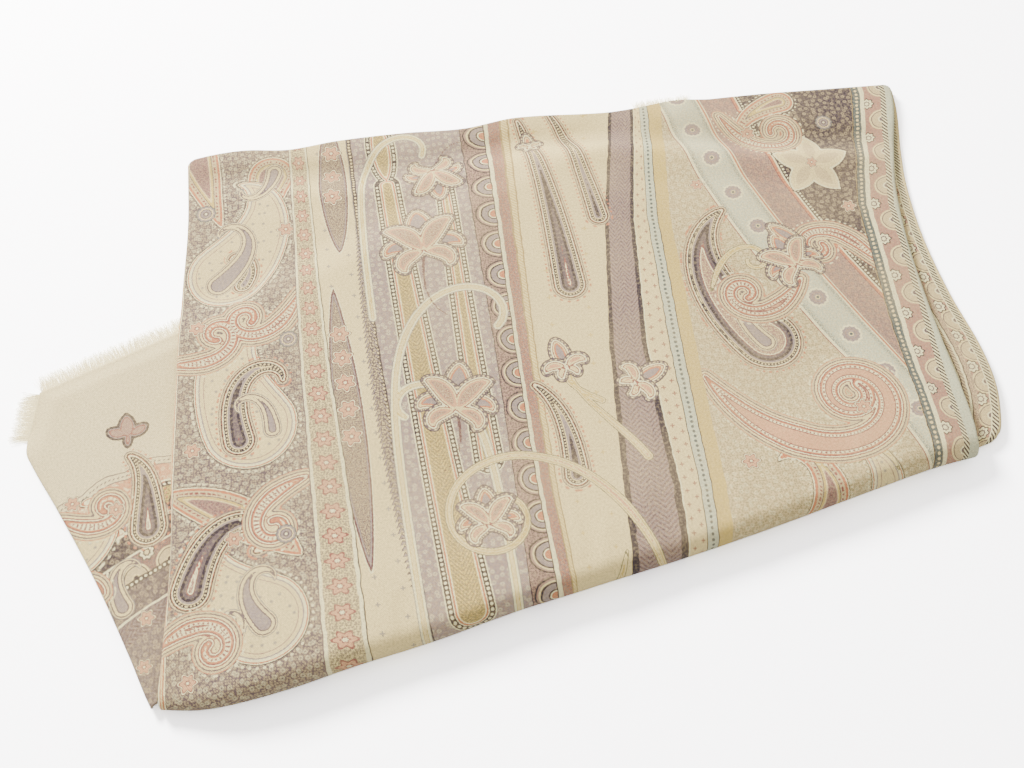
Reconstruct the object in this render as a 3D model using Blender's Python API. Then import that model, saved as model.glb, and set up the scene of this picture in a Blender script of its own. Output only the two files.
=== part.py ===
# A printed stole: one rectangle of fine twill, folded in four along its length, then folded in
# half, askew, and laid flat. Metres, +Z up. X runs along the back edge, Y from the front fold to
# the back. The plan is laid out from the front left corner, and PLAN_CENTRE moves it so that the
# middle of its footprint is the origin.

import math

import bmesh
import bpy
from mathutils import Vector

# ---- driving sizes -------------------------------------------------------------------------
WALL = 0.0012            # cloth, with the air that a soft twill holds
GAP = 0.0003             # between two pieces that touch
PLAN_CENTRE = (0.2028, 0.2087)

UPPER_STACK = 0.0080     # height of the upper packet where it lies on the surface itself
LOWER_STACK = 0.0062     # what the lower packet adds beneath it
FRONT_SWELL = 0.0056     # the extra rise over the round front fold
FRONT_REACH = 0.055      # how far back that rise is felt
FRONT_EASE = 0.075       # length of the front fold's left end over which it grows to that rise
FRONT_RADIUS = 0.0110    # half depth of the front fold
TUCK = 0.006             # cloth that runs on under the front fold
LEFT_FLARE = 0.0042      # how far the left edge leans out at the front corner
LEFT_FLARE_REACH = 0.022
RIM = 0.0024             # radius of a folded edge
RIM_TURN = math.radians(152)
THINNEST = 0.0003        # inner radius of the sharpest fold
CORNER_ROUND = 0.006     # plan radius added at the back corners
CORNER_DROP = 0.0030     # how much lower the front left corner lies
CORNER_REACH = 0.030
DRAPE_START = 0.015      # how far past the lower packet the upper one reaches the surface
DRAPE_WIDTH = 0.034      # cloth over which it comes down there
SLACK = 0.0007           # height of the slow waves all over the top
EDGE_CALM = 0.022        # cloth along the edges where waves and creases fade
RIDGE_ROW = 0.24         # the part of the way from back to front at which the ridge lies

SIDE_HIDDEN = 0.0030     # how far the side stretch runs in under the upper stretch
SIDE_LIFT = 0.0003       # its lowest point above the surface
SIDE_FULL = 0.0056       # the height past which it no longer rises with the upper stretch

FLAP_STACK = 0.0050      # height of the lower packet's corner
FLAP_RISE = 0.0040       # extra height where it climbs to the upper stretch's edge
FLAP_CLIMB = 0.013       # how far left of that edge the climb is felt
FLAP_SWELL = 0.0016      # the extra rise beside the front fold
FLAP_EDGE = 0.0017       # height of its raw edges
FLAP_DROOP = 0.014       # cloth over which a raw edge comes down
FLAP_RAW = 0.004         # cloth at its raw end that belongs to the folded edge elsewhere
FLAP_RAW_FROM = 0.158    # where along Y the folded edge starts to change into a raw one
FLAP_RAW_TO = 0.186

FRINGE_LENGTH = 0.0132
FRINGE_BACKING = 0.0018  # width of the strip that holds the strands' roots
FRINGE_THICK = 0.0009
FRINGE_FLOOR = 0.0004
BACK_FRINGE_RUN = (0.321, 0.361)     # where the fringe of the lower half's corner shows at the back
BACK_FRINGE_SEAT = 0.0005            # how far inside the back edge its roots start

# Where the back edge, the ridge in front of it and the front fold lie along X, and how high the
# ridge stands there.
EDGE_COLUMNS = ("x", "back", "ridge", "front", "rise")
EDGES_ALONG_X = (
    (0.000, 0.3865, 0.3470, -0.0010, 0.0002),
    (0.020, 0.3905, 0.3470, -0.0034, 0.0005),
    (0.040, 0.3920, 0.3465, -0.0022, 0.0010),
    (0.070, 0.3897, 0.3460, 0.0032, 0.0018),
    (0.105, 0.3945, 0.3450, 0.0120, 0.0024),
    (0.150, 0.3970, 0.3460, 0.0220, 0.0022),
    (0.195, 0.3970, 0.3535, 0.0340, 0.0024),
    (0.233, 0.4035, 0.3605, 0.0425, 0.0028),
    (0.300, 0.4020, 0.3585, 0.0575, 0.0026),
    (0.350, 0.4060, 0.3515, 0.0700, 0.0027),
    (0.412, 0.4085, 0.3450, 0.0870, 0.0031),
    (0.455, 0.4085, 0.3415, 0.0985, 0.0029),
    (0.515, 0.4085, 0.3370, 0.1100, 0.0012),
)
RIDGE_WIDTH = 0.0105     # half width of the ridge
RIDGE_DIP = 0.0015       # depth of the soft trough behind it

# Where the upper stretch's right edge and the outermost edge beneath it lie along Y.
RIGHT_COLUMNS = ("y", "upper", "side")
RIGHT_ALONG_Y = (
    (0.100, 0.4800, 0.4880),
    (0.118, 0.4850, 0.5030),
    (0.132, 0.4865, 0.5085),
    (0.155, 0.4870, 0.5125),
    (0.185, 0.4862, 0.5112),
    (0.226, 0.4850, 0.5035),
    (0.272, 0.4852, 0.4985),
    (0.316, 0.4895, 0.4990),
    (0.347, 0.4965, 0.5030),
    (0.385, 0.5065, 0.5100),
    (0.409, 0.5100, 0.5120),
)

# The flap's left boundary, from the front corner to the cloth's own corner, and the height over
# which it is folded round (1) or left as a raw edge (0).
FLAP_COLUMNS = ("run", "x", "y", "folded")
FLAP_LEFT = (
    (0.00, -0.0078, 0.0010, 1.0),
    (0.06, -0.0118, 0.0090, 1.0),
    (0.18, -0.0222, 0.0330, 1.0),
    (0.40, -0.0445, 0.0800, 1.0),
    (0.62, -0.0700, 0.1270, 1.0),
    (0.76, -0.0865, 0.1555, 1.0),
    (0.83, -0.0925, 0.1690, 0.6),
    (0.90, -0.0905, 0.1870, 0.0),
    (1.00, -0.0880, 0.2095, 0.0),
)
END_FRINGE_FOOT = (-0.0925, 0.176)
FLAP_FAR = (0.0010, 0.2475)      # where its far edge goes in under the upper stretch
LOWER_CORNER = (0.358, 0.411)    # the lower half's other far corner, hidden but for its fringe
LOWER_TURN = (0.486, 0.108)      # where its right side meets the front fold

# Other soft ridges (height above 0) and troughs (below 0) of the upper stretch.
CREASE_COLUMNS = ("x0", "y0", "x1", "y1", "half_width", "height")
CREASES = (
    (0.218, 0.386, 0.217, 0.216, 0.0130, -0.0009),
    (0.217, 0.216, 0.229, 0.046, 0.0130, -0.0011),
    (0.120, 0.300, 0.190, 0.120, 0.0200, -0.0009),
    (0.300, 0.310, 0.420, 0.180, 0.0240, -0.0010),
)


# ---- small helpers -------------------------------------------------------------------------
def smooth(t):
    t = max(0.0, min(1.0, t))
    return t * t * (3.0 - 2.0 * t)


def mix(a, b, t):
    return a + (b - a) * t


def lookup(table, columns, key, name):
    """A smooth curve through one named column of a table, read at a value of its first column."""
    column = columns.index(name)
    last = len(table) - 1
    k = 0
    while k < last - 1 and key > table[k + 1][0]:
        k += 1
    x0, x1 = table[k][0], table[k + 1][0]
    y0, y1 = table[k][column], table[k + 1][column]

    def slope(i):
        i0, i1 = max(i - 1, 0), min(i + 1, last)
        return (table[i1][column] - table[i0][column]) / (table[i1][0] - table[i0][0])

    t = max(0.0, min(1.0, (key - x0) / (x1 - x0)))
    run = x1 - x0
    return ((2 * t**3 - 3 * t**2 + 1) * y0 + (t**3 - 2 * t**2 + t) * run * slope(k)
            + (-2 * t**3 + 3 * t**2) * y1 + (t**3 - t**2) * run * slope(k + 1))


def side_of(px, py, a, b):
    """Signed distance of a point from the line a to b, positive on its right."""
    dx, dy = b[0] - a[0], b[1] - a[1]
    return ((px - a[0]) * dy - (py - a[1]) * dx) / math.hypot(dx, dy)


def back_edge(x):
    return lookup(EDGES_ALONG_X, EDGE_COLUMNS, x, "back")


def front_edge(x):
    return lookup(EDGES_ALONG_X, EDGE_COLUMNS, x, "front")


def ridge_line(x):
    return lookup(EDGES_ALONG_X, EDGE_COLUMNS, x, "ridge")


def right_edge(y):
    return lookup(RIGHT_ALONG_Y, RIGHT_COLUMNS, y, "upper")


def side_edge(y):
    return lookup(RIGHT_ALONG_Y, RIGHT_COLUMNS, y, "side")


def left_edge(y):
    flare = LEFT_FLARE * math.exp(-max(0.0, y) / LEFT_FLARE_REACH)
    return 0.0008 * math.sin(y / 0.041) - 0.0006 * math.sin(y / 0.019) - flare


# ---- heights -------------------------------------------------------------------------------
def crease_height(x, y):
    from_ridge = y - ridge_line(x)
    rise = lookup(EDGES_ALONG_X, EDGE_COLUMNS, x, "rise")
    total = rise * math.exp(-(from_ridge / RIDGE_WIDTH) ** 2)
    total -= RIDGE_DIP * math.exp(-((from_ridge - 2.1 * RIDGE_WIDTH) / RIDGE_WIDTH) ** 2)
    for x0, y0, x1, y1, half_width, height in CREASES:
        dx, dy = x1 - x0, y1 - y0
        length = math.hypot(dx, dy)
        run = ((x - x0) * dx + (y - y0) * dy) / length
        across = ((x - x0) * dy - (y - y0) * dx) / length
        fade = smooth((run + half_width) / (2 * half_width))
        fade *= smooth((length - run + half_width) / (2 * half_width))
        total += height * fade * math.exp(-(across / half_width) ** 2)
    return total


def top_height(x, y):
    """Height of the upper stretch's outer face."""
    far = side_of(x, y, (FLAP_LEFT[-1][1], FLAP_LEFT[-1][2]), LOWER_CORNER)
    right = side_of(x, y, LOWER_CORNER, LOWER_TURN)
    over_lower = smooth((far + DRAPE_START) / DRAPE_WIDTH) * smooth((right + DRAPE_START) / DRAPE_WIDTH)
    from_front = y - front_edge(x) - FRONT_RADIUS
    swell = FRONT_SWELL * math.exp(-(from_front / FRONT_REACH) ** 2) * smooth((x + 0.012) / FRONT_EASE)
    corner_drop = CORNER_DROP * math.exp(-(math.hypot(x, y) / CORNER_REACH) ** 2)
    edge_inset = min(x, back_edge(x) - y, right_edge(y) - x)
    slack = SLACK * math.sin(x / 0.031 + 0.6) * math.sin(y / 0.047 + 0.3)
    waves = (crease_height(x, y) + slack) * smooth(edge_inset / EDGE_CALM)
    return UPPER_STACK + LOWER_STACK * over_lower + swell - corner_drop + waves


def side_height(y):
    """Height of the side stretch, below the upper stretch's folded right edge."""
    room = top_height(right_edge(y) - RIM, y) - 2.0 * RIM - GAP
    return room if room < SIDE_FULL else SIDE_FULL + 0.15 * (room - SIDE_FULL)


def flap_height(x, y):
    """Height of the flap's outer face, from its raw edges up to the upper stretch's edge."""
    far = side_of(x, y, (FLAP_LEFT[-1][1], FLAP_LEFT[-1][2]), FLAP_FAR)
    end = side_of(x, y, (FLAP_LEFT[-3][1], FLAP_LEFT[-3][2]), (FLAP_LEFT[-1][1], FLAP_LEFT[-1][2]))
    raw_end = smooth((y - FLAP_RAW_FROM) / (FLAP_RAW_TO - FLAP_RAW_FROM))
    raw = min(smooth(far / FLAP_DROOP), mix(1.0, smooth(end / FLAP_DROOP), raw_end))
    low = FLAP_EDGE + (FLAP_STACK - FLAP_EDGE) * raw
    edge = left_edge(y)
    rise = FLAP_RISE * smooth((FLAP_RAW_TO - y) / 0.06) * smooth(far / 0.03)
    rise += FLAP_SWELL * math.exp(-(y / FRONT_REACH) ** 2)
    room = top_height(edge + RIM, y) - 2.0 * RIM - 2.0 * GAP - low
    return low + min(rise, room) * math.exp(min(0.0, x - edge) / FLAP_CLIMB)


# ---- the folded stretches ------------------------------------------------------------------
def corner_disc(a, b):
    """A point a and b inside two edges, as (u, v) on the quarter disc that rounds their corner."""
    if a >= CORNER_ROUND or b >= CORNER_ROUND:
        return None
    u, v = 1.0 - a / CORNER_ROUND, 1.0 - b / CORNER_ROUND
    return u * math.sqrt(1.0 - v * v / 2), v * math.sqrt(1.0 - u * u / 2)


def outward_angle(side, back, disc):
    """Direction out of the packet, from square to the side (0) to square to the back (90 deg)."""
    lean = math.atan2(disc[1], disc[0]) if disc else (0.0 if side else math.pi / 2)
    if side and back:
        part = 0.5 * back / side if side >= back else 1.0 - 0.5 * side / back
        return math.pi / 8 + math.pi / 4 * part
    return lean / 2 if side else math.pi / 4 + lean / 2


def upper_point(across, along, inside=0.0):
    """A point of the upper stretch, inside its outer face by a given depth. across is 0 to 1 from
    left to right and along 0 to 1 from back to front, each on past those for a folded edge; along
    runs 1 to 2 round the front fold and 2 to 3 under it."""
    p, q = max(0.0, min(1.0, across)), max(0.0, min(1.0, along))
    side, back = abs(across - p), max(0.0, -along)
    x, y = mix(0.0, 0.49, p), mix(0.39, 0.06, q)
    for _ in range(4):
        x = mix(left_edge(y) + RIM, right_edge(y) - RIM, p)
        ridge = ridge_line(x)
        if q < RIDGE_ROW:
            y = mix(back_edge(x) - RIM, ridge, q / RIDGE_ROW)
        else:
            y = mix(ridge, front_edge(x) + FRONT_RADIUS, (q - RIDGE_ROW) / (1.0 - RIDGE_ROW))
    turned = -1.0 if across < 0.5 else 1.0
    side_core = left_edge(y) + RIM if turned < 0 else right_edge(y) - RIM
    back_core = back_edge(x) - RIM
    disc = corner_disc(abs(x - side_core), back_core - y)
    if disc:
        x = side_core + turned * CORNER_ROUND * (disc[0] - 1.0)
        y = back_core + CORNER_ROUND * (disc[1] - 1.0)
    z = top_height(x, y)
    radius = RIM - inside
    swing = RIM_TURN * max(side, back)
    depth = RIM - radius * math.cos(swing)
    if along <= 1.0:
        angle = outward_angle(side, back, disc)
        x += turned * radius * math.sin(swing) * math.cos(angle)
        y += radius * math.sin(swing) * math.sin(angle)
        return Vector((x, y, z - depth))
    x += turned * radius * math.sin(swing)
    half = z / 2
    if along <= 2.0:
        turn = math.pi / 2 - math.pi * (along - 1.0)
        y -= (FRONT_RADIUS - depth) * math.cos(turn)
        return Vector((x, y, half + (half - depth) * math.sin(turn)))
    return Vector((x, y + TUCK * (along - 2.0), depth))


def side_hidden(y):
    """The side stretch's hidden edge: under the upper stretch, but clear of its front fold."""
    fold_end = front_edge(0.485) + FRONT_RADIUS + TUCK + 0.001
    return right_edge(y) + mix(0.0005, -SIDE_HIDDEN, smooth((y - fold_end) / 0.008))


def side_point(across, along, inside=0.0):
    """A point of the side stretch: across and along are 1 to 2 round its folded edges."""
    p, q = min(1.0, across), min(1.0, along)
    x, y = 0.49, mix(0.400, 0.120, q)
    for _ in range(4):
        radius = (side_height(y) - SIDE_LIFT) / 2
        x = mix(side_hidden(y), side_edge(y) - radius, p)
        y = mix(back_edge(x) - 0.0030, side_front(x) + radius, q)
    disc = corner_disc(side_edge(y) - radius - x, y - side_front(x) - radius)
    if disc:
        x = side_edge(y) - radius + CORNER_ROUND * (disc[0] - 1.0)
        y = side_front(x) + radius - CORNER_ROUND * (disc[1] - 1.0)
    swing = RIM_TURN * max(across - p, along - q)
    inner = max(THINNEST, radius - inside)
    z = side_height(y) - (radius - inner * math.cos(swing) if swing else inside)
    angle = outward_angle(across - p, along - q, disc)
    x += inner * math.sin(swing) * math.cos(angle)
    y -= inner * math.sin(swing) * math.sin(angle)
    return Vector((x, y, z))


def side_front(x):
    return 0.1095 + 0.30 * (x - 0.480)


def flap_ends(run):
    """Plan points of the flap's left and right boundaries at a part of its length."""
    left = Vector((lookup(FLAP_LEFT, FLAP_COLUMNS, run, "x"), lookup(FLAP_LEFT, FLAP_COLUMNS, run, "y")))
    y = mix(0.0030, FLAP_FAR[1], run)
    fold_end = front_edge(0.0) + FRONT_RADIUS + TUCK + 0.001
    inside = mix(-0.0005, 0.0010, smooth((y - fold_end) / 0.010))
    return left, Vector((left_edge(y) + inside, y))


def flap_core(run):
    """Where the flap's flat part starts at its left, its direction inward and its fold's radius."""
    left, right = flap_ends(run)
    inward = (right - left).normalized()
    edge = left + inward * 0.003
    radius = min((flap_height(edge.x, edge.y) - GAP) / 2, (right - left).length / 2.6)
    folded = max(0.0, min(1.0, lookup(FLAP_LEFT, FLAP_COLUMNS, run, "folded")))
    return left + inward * mix(FLAP_RAW, radius, folded), right, inward, radius, folded


def flap_point(across, along, inside=0.0):
    """A point of the flap: folded round at across -1 to 0, out to its hidden edge at 1."""
    core, right, inward, radius, folded = flap_core(along)
    spot = core.lerp(right, max(0.0, across))
    part = max(0.0, -across)
    if not part:
        return Vector((spot.x, spot.y, flap_height(spot.x, spot.y) - inside))
    swing = RIM_TURN * max(0.02, folded)
    curl = mix(FLAP_RAW, radius * RIM_TURN, folded) / swing
    flat = spot - inward * FLAP_RAW * part
    height = mix(flap_height(flat.x, flat.y), flap_height(spot.x, spot.y), folded)
    inner = max(THINNEST, curl - inside)
    place = spot - inward * inner * math.sin(swing * part)
    return Vector((place.x, place.y, max(GAP, height - curl + inner * math.cos(swing * part))))


# ---- building ------------------------------------------------------------------------------
def material(name, colour, roughness):
    made = bpy.data.materials.new(name)
    made.use_nodes = True
    shader = made.node_tree.nodes["Principled BSDF"]
    shader.inputs["Base Color"].default_value = (*colour, 1.0)
    shader.inputs["Roughness"].default_value = roughness
    shader.inputs["Metallic"].default_value = 0.0
    return made


def add_object(name, bm, colour, roughness=0.85):
    """Make an object of a bmesh, moved to the plan's centre."""
    bmesh.ops.translate(bm, verts=bm.verts, vec=(-PLAN_CENTRE[0], -PLAN_CENTRE[1], 0.0))
    mesh = bpy.data.meshes.new(name)
    bm.to_mesh(mesh)
    bm.free()
    mesh.shade_smooth()
    made = bpy.data.objects.new(name, mesh)
    bpy.context.collection.objects.link(made)
    mesh.materials.append(material(name + "_cloth", colour, roughness))
    return made


def stations(start, stop, count):
    return [mix(start, stop, k / count) for k in range(count + 1)]


def join_stations(*runs):
    """Stations from several runs, one after the other, without the shared ends twice."""
    joined = list(runs[0])
    for run in runs[1:]:
        joined += run[1:]
    return joined


def sheet(point, across, along):
    """A wall of cloth whose two faces follow a function of the stations across and along."""
    bm = bmesh.new()
    bmesh.ops.create_grid(bm, x_segments=len(across) - 1, y_segments=len(along) - 1, size=0.5)
    bm.verts.ensure_lookup_table()
    columns = len(across)
    place = {vert: (across[vert.index % columns], along[vert.index // columns]) for vert in bm.verts}
    outer = {tuple(round(c, 5) for c in vert.co): spot for vert, spot in place.items()}
    grown = bmesh.ops.extrude_face_region(bm, geom=list(bm.faces))["geom"]
    for vert in [item for item in grown if isinstance(item, bmesh.types.BMVert)]:
        vert.co = point(*outer[tuple(round(c, 5) for c in vert.co)], WALL)
    for vert, spot in place.items():
        vert.co = point(*spot)
    bmesh.ops.recalc_face_normals(bm, faces=bm.faces)
    return bm


UPPER_ACROSS = stations(0, 1, 25)
UPPER_ALONG = join_stations(stations(0, RIDGE_ROW, 4), stations(RIDGE_ROW, RIDGE_ROW + 0.08, 2),
                            stations(RIDGE_ROW + 0.08, 1, 9))


def build_upper():
    across = join_stations(stations(-1, 0, 4), UPPER_ACROSS, stations(1, 2, 4))
    along = join_stations(stations(-1, 0, 4), UPPER_ALONG, stations(1, 2, 8), stations(2, 3, 1))
    return add_object("upper_stretch", sheet(upper_point, across, along), (0.56, 0.48, 0.38))


def build_side():
    across = join_stations(stations(0, 1, 3), stations(1, 2, 4))
    along = join_stations(stations(0, 0.88, 15), stations(0.88, 1, 6), stations(1, 2, 4))
    return add_object("side_stretch", sheet(side_point, across, along), (0.50, 0.43, 0.35))


def build_flap():
    across = join_stations(stations(-1, 0, 5), stations(0, 1, 8))
    along = join_stations(stations(0, 0.12, 3), stations(0.12, 0.76, 7), stations(0.76, 1, 6))
    return add_object("corner_flap", sheet(flap_point, across, along), (0.66, 0.58, 0.44))


# The hidden layers: rings from the underside up, each side with its own profile. A profile gives
# how far a ring stands out from the upper stretch's core, and its height.
RINGS = 8
ROLL_ANGLES = (-90, -90, -90, -50, -12, 24, 58, 90)
LOBE_COLUMNS = ("part of the free height", "inset")
LOBES = (
    (0.00, 0.0036),
    (0.16, 0.0014),
    (0.36, 0.0013),
    (0.50, 0.0030),
    (0.64, 0.0013),
    (0.84, 0.0015),
    (1.00, 0.0034),
)
CLEAR = WALL + 0.0006
CORE_INSET = RIM + 0.0006


def edge_profile(ring, x, y):
    """The left and back edges: two layers' rounded edges."""
    top = top_height(x, y)
    free = top - 2.0 * RIM - GAP
    if ring >= len(LOBES):
        return RIM - CORE_INSET, top - CLEAR
    part, inset = LOBES[ring]
    near_front = smooth((0.050 - (y - front_edge(x))) / 0.014)
    return RIM - mix(inset, 0.0046, near_front), free * part


def front_profile(ring, x, y):
    """The front: round, inside the upper stretch's fold."""
    half = top_height(x, y) / 2
    if ring < 2:
        return -TUCK - 0.004, CLEAR * ring
    angle = math.radians(ROLL_ANGLES[ring])
    return (FRONT_RADIUS - CLEAR) * math.cos(angle), half + (half - CLEAR) * math.sin(angle)


def side_profile(ring, x, y):
    """The right: plain, behind the side stretch's hidden edge."""
    part = (0.0, 0.16, 0.36, 0.50, 0.64, 0.84, 0.95, 1.0)[ring]
    return RIM - SIDE_HIDDEN - 0.0006, (top_height(x, y) - CLEAR) * part


def layer_point(ring, core, across, along):
    """A point of a ring beside a point on the boundary of the upper stretch's core."""
    x, y = core
    left, right, back, front = across == 0, across == 1, along == 0, along == 1
    out_x = out_y = 0.0
    heights = []
    if front:
        reach, z = front_profile(ring, x, y)
        out_y -= reach
        heights.append(z)
    if back:
        reach, z = edge_profile(ring, x, y)
        out_y += reach * (0.7 if left or right else 1.0)
        heights.append(z)
    if left:
        reach, z = edge_profile(ring, x, y)
        out_x -= reach * (0.7 if back else 1.0)
        if not front:
            heights.append(z)
    if right:
        reach, z = side_profile(ring, x, y)
        out_x += reach
        if not front:
            heights.append(z)
    return Vector((x + out_x, y + out_y, sum(heights) / len(heights)))


def build_layers():
    across, along = UPPER_ACROSS, UPPER_ALONG
    bm = bmesh.new()
    bmesh.ops.create_grid(bm, x_segments=len(across) - 1, y_segments=len(along) - 1, size=0.5)
    bm.verts.ensure_lookup_table()
    columns = len(across)
    place = {}
    for vert in bm.verts:
        a, b = across[vert.index % columns], along[vert.index // columns]
        top = upper_point(a, b)
        place[vert] = ((top.x, top.y), a, b)
        vert.co = Vector((top.x, top.y, top.z - CLEAR))
    edges = [edge for edge in bm.edges if edge.is_boundary]
    for edge in edges:
        for vert in edge.verts:
            vert.co = layer_point(RINGS - 1, *place[vert])
    for ring in range(RINGS - 2, -1, -1):
        grown = bmesh.ops.extrude_edge_only(bm, edges=edges)["geom"]
        fresh = [item for item in grown if isinstance(item, bmesh.types.BMVert)]
        found = {}
        for vert in fresh:
            found[vert] = next(place[edge.other_vert(vert)] for edge in vert.link_edges
                               if edge.other_vert(vert) in place)
        place.update(found)
        for vert in fresh:
            vert.co = layer_point(ring, *place[vert])
        edges = [item for item in grown if isinstance(item, bmesh.types.BMEdge) and item.is_boundary]
    bmesh.ops.contextual_create(bm, geom=edges)
    bmesh.ops.triangulate(bm, faces=[face for face in bm.faces if len(face.verts) > 4])
    bmesh.ops.recalc_face_normals(bm, faces=bm.faces)
    return add_object("inner_layers", bm, (0.58, 0.50, 0.40))


def tongue_point(across, along):
    """Top of the lower packet's hidden layers, under the flap."""
    core, right, inward, radius, folded = flap_core(mix(0.08, 0.905, along))
    joined = mix(-0.0004, 0.012, smooth((right.y - 0.032) / 0.010))
    spot = (core + inward * 0.0008).lerp(right + Vector((joined, 0.0)), across)
    return Vector((spot.x, spot.y, flap_height(min(spot.x, 0.0), spot.y) - CLEAR))


def build_tongue():
    across, along = stations(0, 1, 6), stations(0, 1, 12)
    bm = bmesh.new()
    bmesh.ops.create_grid(bm, x_segments=len(across) - 1, y_segments=len(along) - 1, size=0.5)
    bm.verts.ensure_lookup_table()
    columns = len(across)
    for vert in bm.verts:
        vert.co = tongue_point(across[vert.index % columns], along[vert.index // columns])
    edges = [edge for edge in bm.edges if edge.is_boundary]
    grown = bmesh.ops.extrude_edge_only(bm, edges=edges)["geom"]
    for vert in [item for item in grown if isinstance(item, bmesh.types.BMVert)]:
        vert.co.z = 0.0
    lower = [item for item in grown if isinstance(item, bmesh.types.BMEdge) and item.is_boundary]
    bmesh.ops.contextual_create(bm, geom=lower)
    bmesh.ops.triangulate(bm, faces=[face for face in bm.faces if len(face.verts) > 4])
    bmesh.ops.recalc_face_normals(bm, faces=bm.faces)
    return add_object("lower_tongue", bm, (0.58, 0.50, 0.40))


# ---- fringe --------------------------------------------------------------------------------
def build_fringe(name, roots, outward, strands, floor=FRINGE_FLOOR):
    """A narrow backing along a line of root points, and a strand drawn out of each of its parts."""
    bm = bmesh.new()
    segments = 2 * strands
    bmesh.ops.create_grid(bm, x_segments=segments, y_segments=1, size=0.5)
    bm.verts.ensure_lookup_table()
    columns = segments + 1
    across = Vector((outward[0], outward[1], 0.0)).normalized()
    start, stop = Vector((*roots[0], 0.0)), Vector((*roots[1], 0.0))
    for vert in bm.verts:
        line, row = vert.index % columns, vert.index // columns
        base = start.lerp(stop, line / segments)
        vert.co = base + across * (FRINGE_BACKING * row) + Vector((0, 0, floor + FRINGE_THICK))
    lid = list(bm.faces)
    grown = bmesh.ops.extrude_face_region(bm, geom=lid)["geom"]
    for vert in [item for item in grown if isinstance(item, bmesh.types.BMVert)]:
        vert.co.z = floor
    bmesh.ops.recalc_face_normals(bm, faces=bm.faces)
    outer = [face for face in bm.faces if face.normal.dot(across) > 0.9]
    outer.sort(key=lambda face: (face.calc_center_median() - start).length)
    along = (stop - start).normalized()
    for k, face in enumerate(outer[::2]):
        length = FRINGE_LENGTH * (0.86 + 0.14 * math.sin(k * 2.4) * math.cos(k * 0.7))
        lean = 0.26 * math.sin(k * 0.24) + 0.05 * math.sin(k * 0.71)
        for part, size in ((0.5, 0.72), (1.0, 0.30)):
            tip = bmesh.ops.extrude_discrete_faces(bm, faces=[face])["faces"][0]
            centre = tip.calc_center_median()
            reach = length / 2
            target = centre + across * reach + along * lean * reach * part
            target.z = floor + FRINGE_THICK * 0.5 + 0.0006 * math.sin(k * 1.3) * part + 0.0003
            for vert in tip.verts:
                vert.co = target + (vert.co - centre) * size
            face = tip
    return add_object(name, bm, (0.78, 0.75, 0.62), roughness=0.9)


def build():
    for old in list(bpy.data.objects):
        bpy.data.objects.remove(old)
    build_upper()
    build_side()
    build_flap()
    layers, tongue = build_layers(), build_tongue()
    union = layers.modifiers.new("lower packet", "BOOLEAN")
    union.operation = "UNION"
    union.object = tongue
    tongue.hide_render = True
    tongue.display_type = "WIRE"

    corner = Vector((FLAP_LEFT[-1][1], FLAP_LEFT[-1][2]))
    far = Vector(FLAP_FAR)
    run = (far - corner).normalized()
    out = Vector((-run.y, run.x))
    build_fringe("far_fringe", (corner + out * GAP + run * 0.001, far + out * GAP), out, 86)
    end = Vector(END_FRINGE_FOOT)
    down = (end - corner).normalized()
    side = Vector((down.y, -down.x))
    build_fringe("end_fringe", (corner + side * 2 * GAP + down * 0.001, end + side * 2 * GAP), side, 26)
    ends = [Vector((x, back_edge(x) - BACK_FRINGE_SEAT)) for x in BACK_FRINGE_RUN]
    build_fringe("back_fringe", ends, (-0.05, 1.0), 30)


build()
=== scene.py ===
import math
import random

import bmesh
import bpy
import numpy as np
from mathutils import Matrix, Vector


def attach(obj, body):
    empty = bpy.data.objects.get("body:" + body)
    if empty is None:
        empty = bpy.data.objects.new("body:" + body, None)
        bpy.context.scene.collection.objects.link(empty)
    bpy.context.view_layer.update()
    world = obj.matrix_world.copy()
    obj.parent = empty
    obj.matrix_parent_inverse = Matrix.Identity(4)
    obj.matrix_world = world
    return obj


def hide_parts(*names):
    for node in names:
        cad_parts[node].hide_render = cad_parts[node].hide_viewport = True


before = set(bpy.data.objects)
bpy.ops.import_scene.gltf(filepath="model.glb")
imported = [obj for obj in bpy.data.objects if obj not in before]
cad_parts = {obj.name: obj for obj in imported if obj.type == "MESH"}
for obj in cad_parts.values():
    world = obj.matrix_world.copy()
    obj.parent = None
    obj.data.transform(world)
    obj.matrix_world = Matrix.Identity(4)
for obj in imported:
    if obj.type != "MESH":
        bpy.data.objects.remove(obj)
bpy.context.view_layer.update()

# The folded stole: sizes in metres. The plan is laid out from the front left corner of the packet.
fold = {
    "planCentre": (0.2028, 0.2087),
    "gap": 0.0003,
    "rim": 0.0024,                        # radius of a folded edge
    "rimTurn": math.radians(163),
    "upperStack": 0.0080,
    "lowerStack": 0.0062,
    "frontSwell": 0.0056,
    "frontReach": 0.055,
    "frontEase": 0.075,
    "frontRadius": 0.0110,
    "tuck": 0.006,
    "leftFlare": 0.0042,
    "leftFlareReach": 0.022,
    "cornerRound": 0.0038,
    "cornerDrop": 0.0030,
    "cornerReach": 0.030,
    "drapeStart": 0.015,
    "drapeWidth": 0.034,
    "slack": 0.0007,
    "edgeCalm": 0.022,
    "ridgeRow": 0.24,
    "ridgeWidth": 0.0105,
    "ridgeDip": 0.0023,
    "passes": 4,                          # rounds in which x and y settle on the curved edges
}

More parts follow.
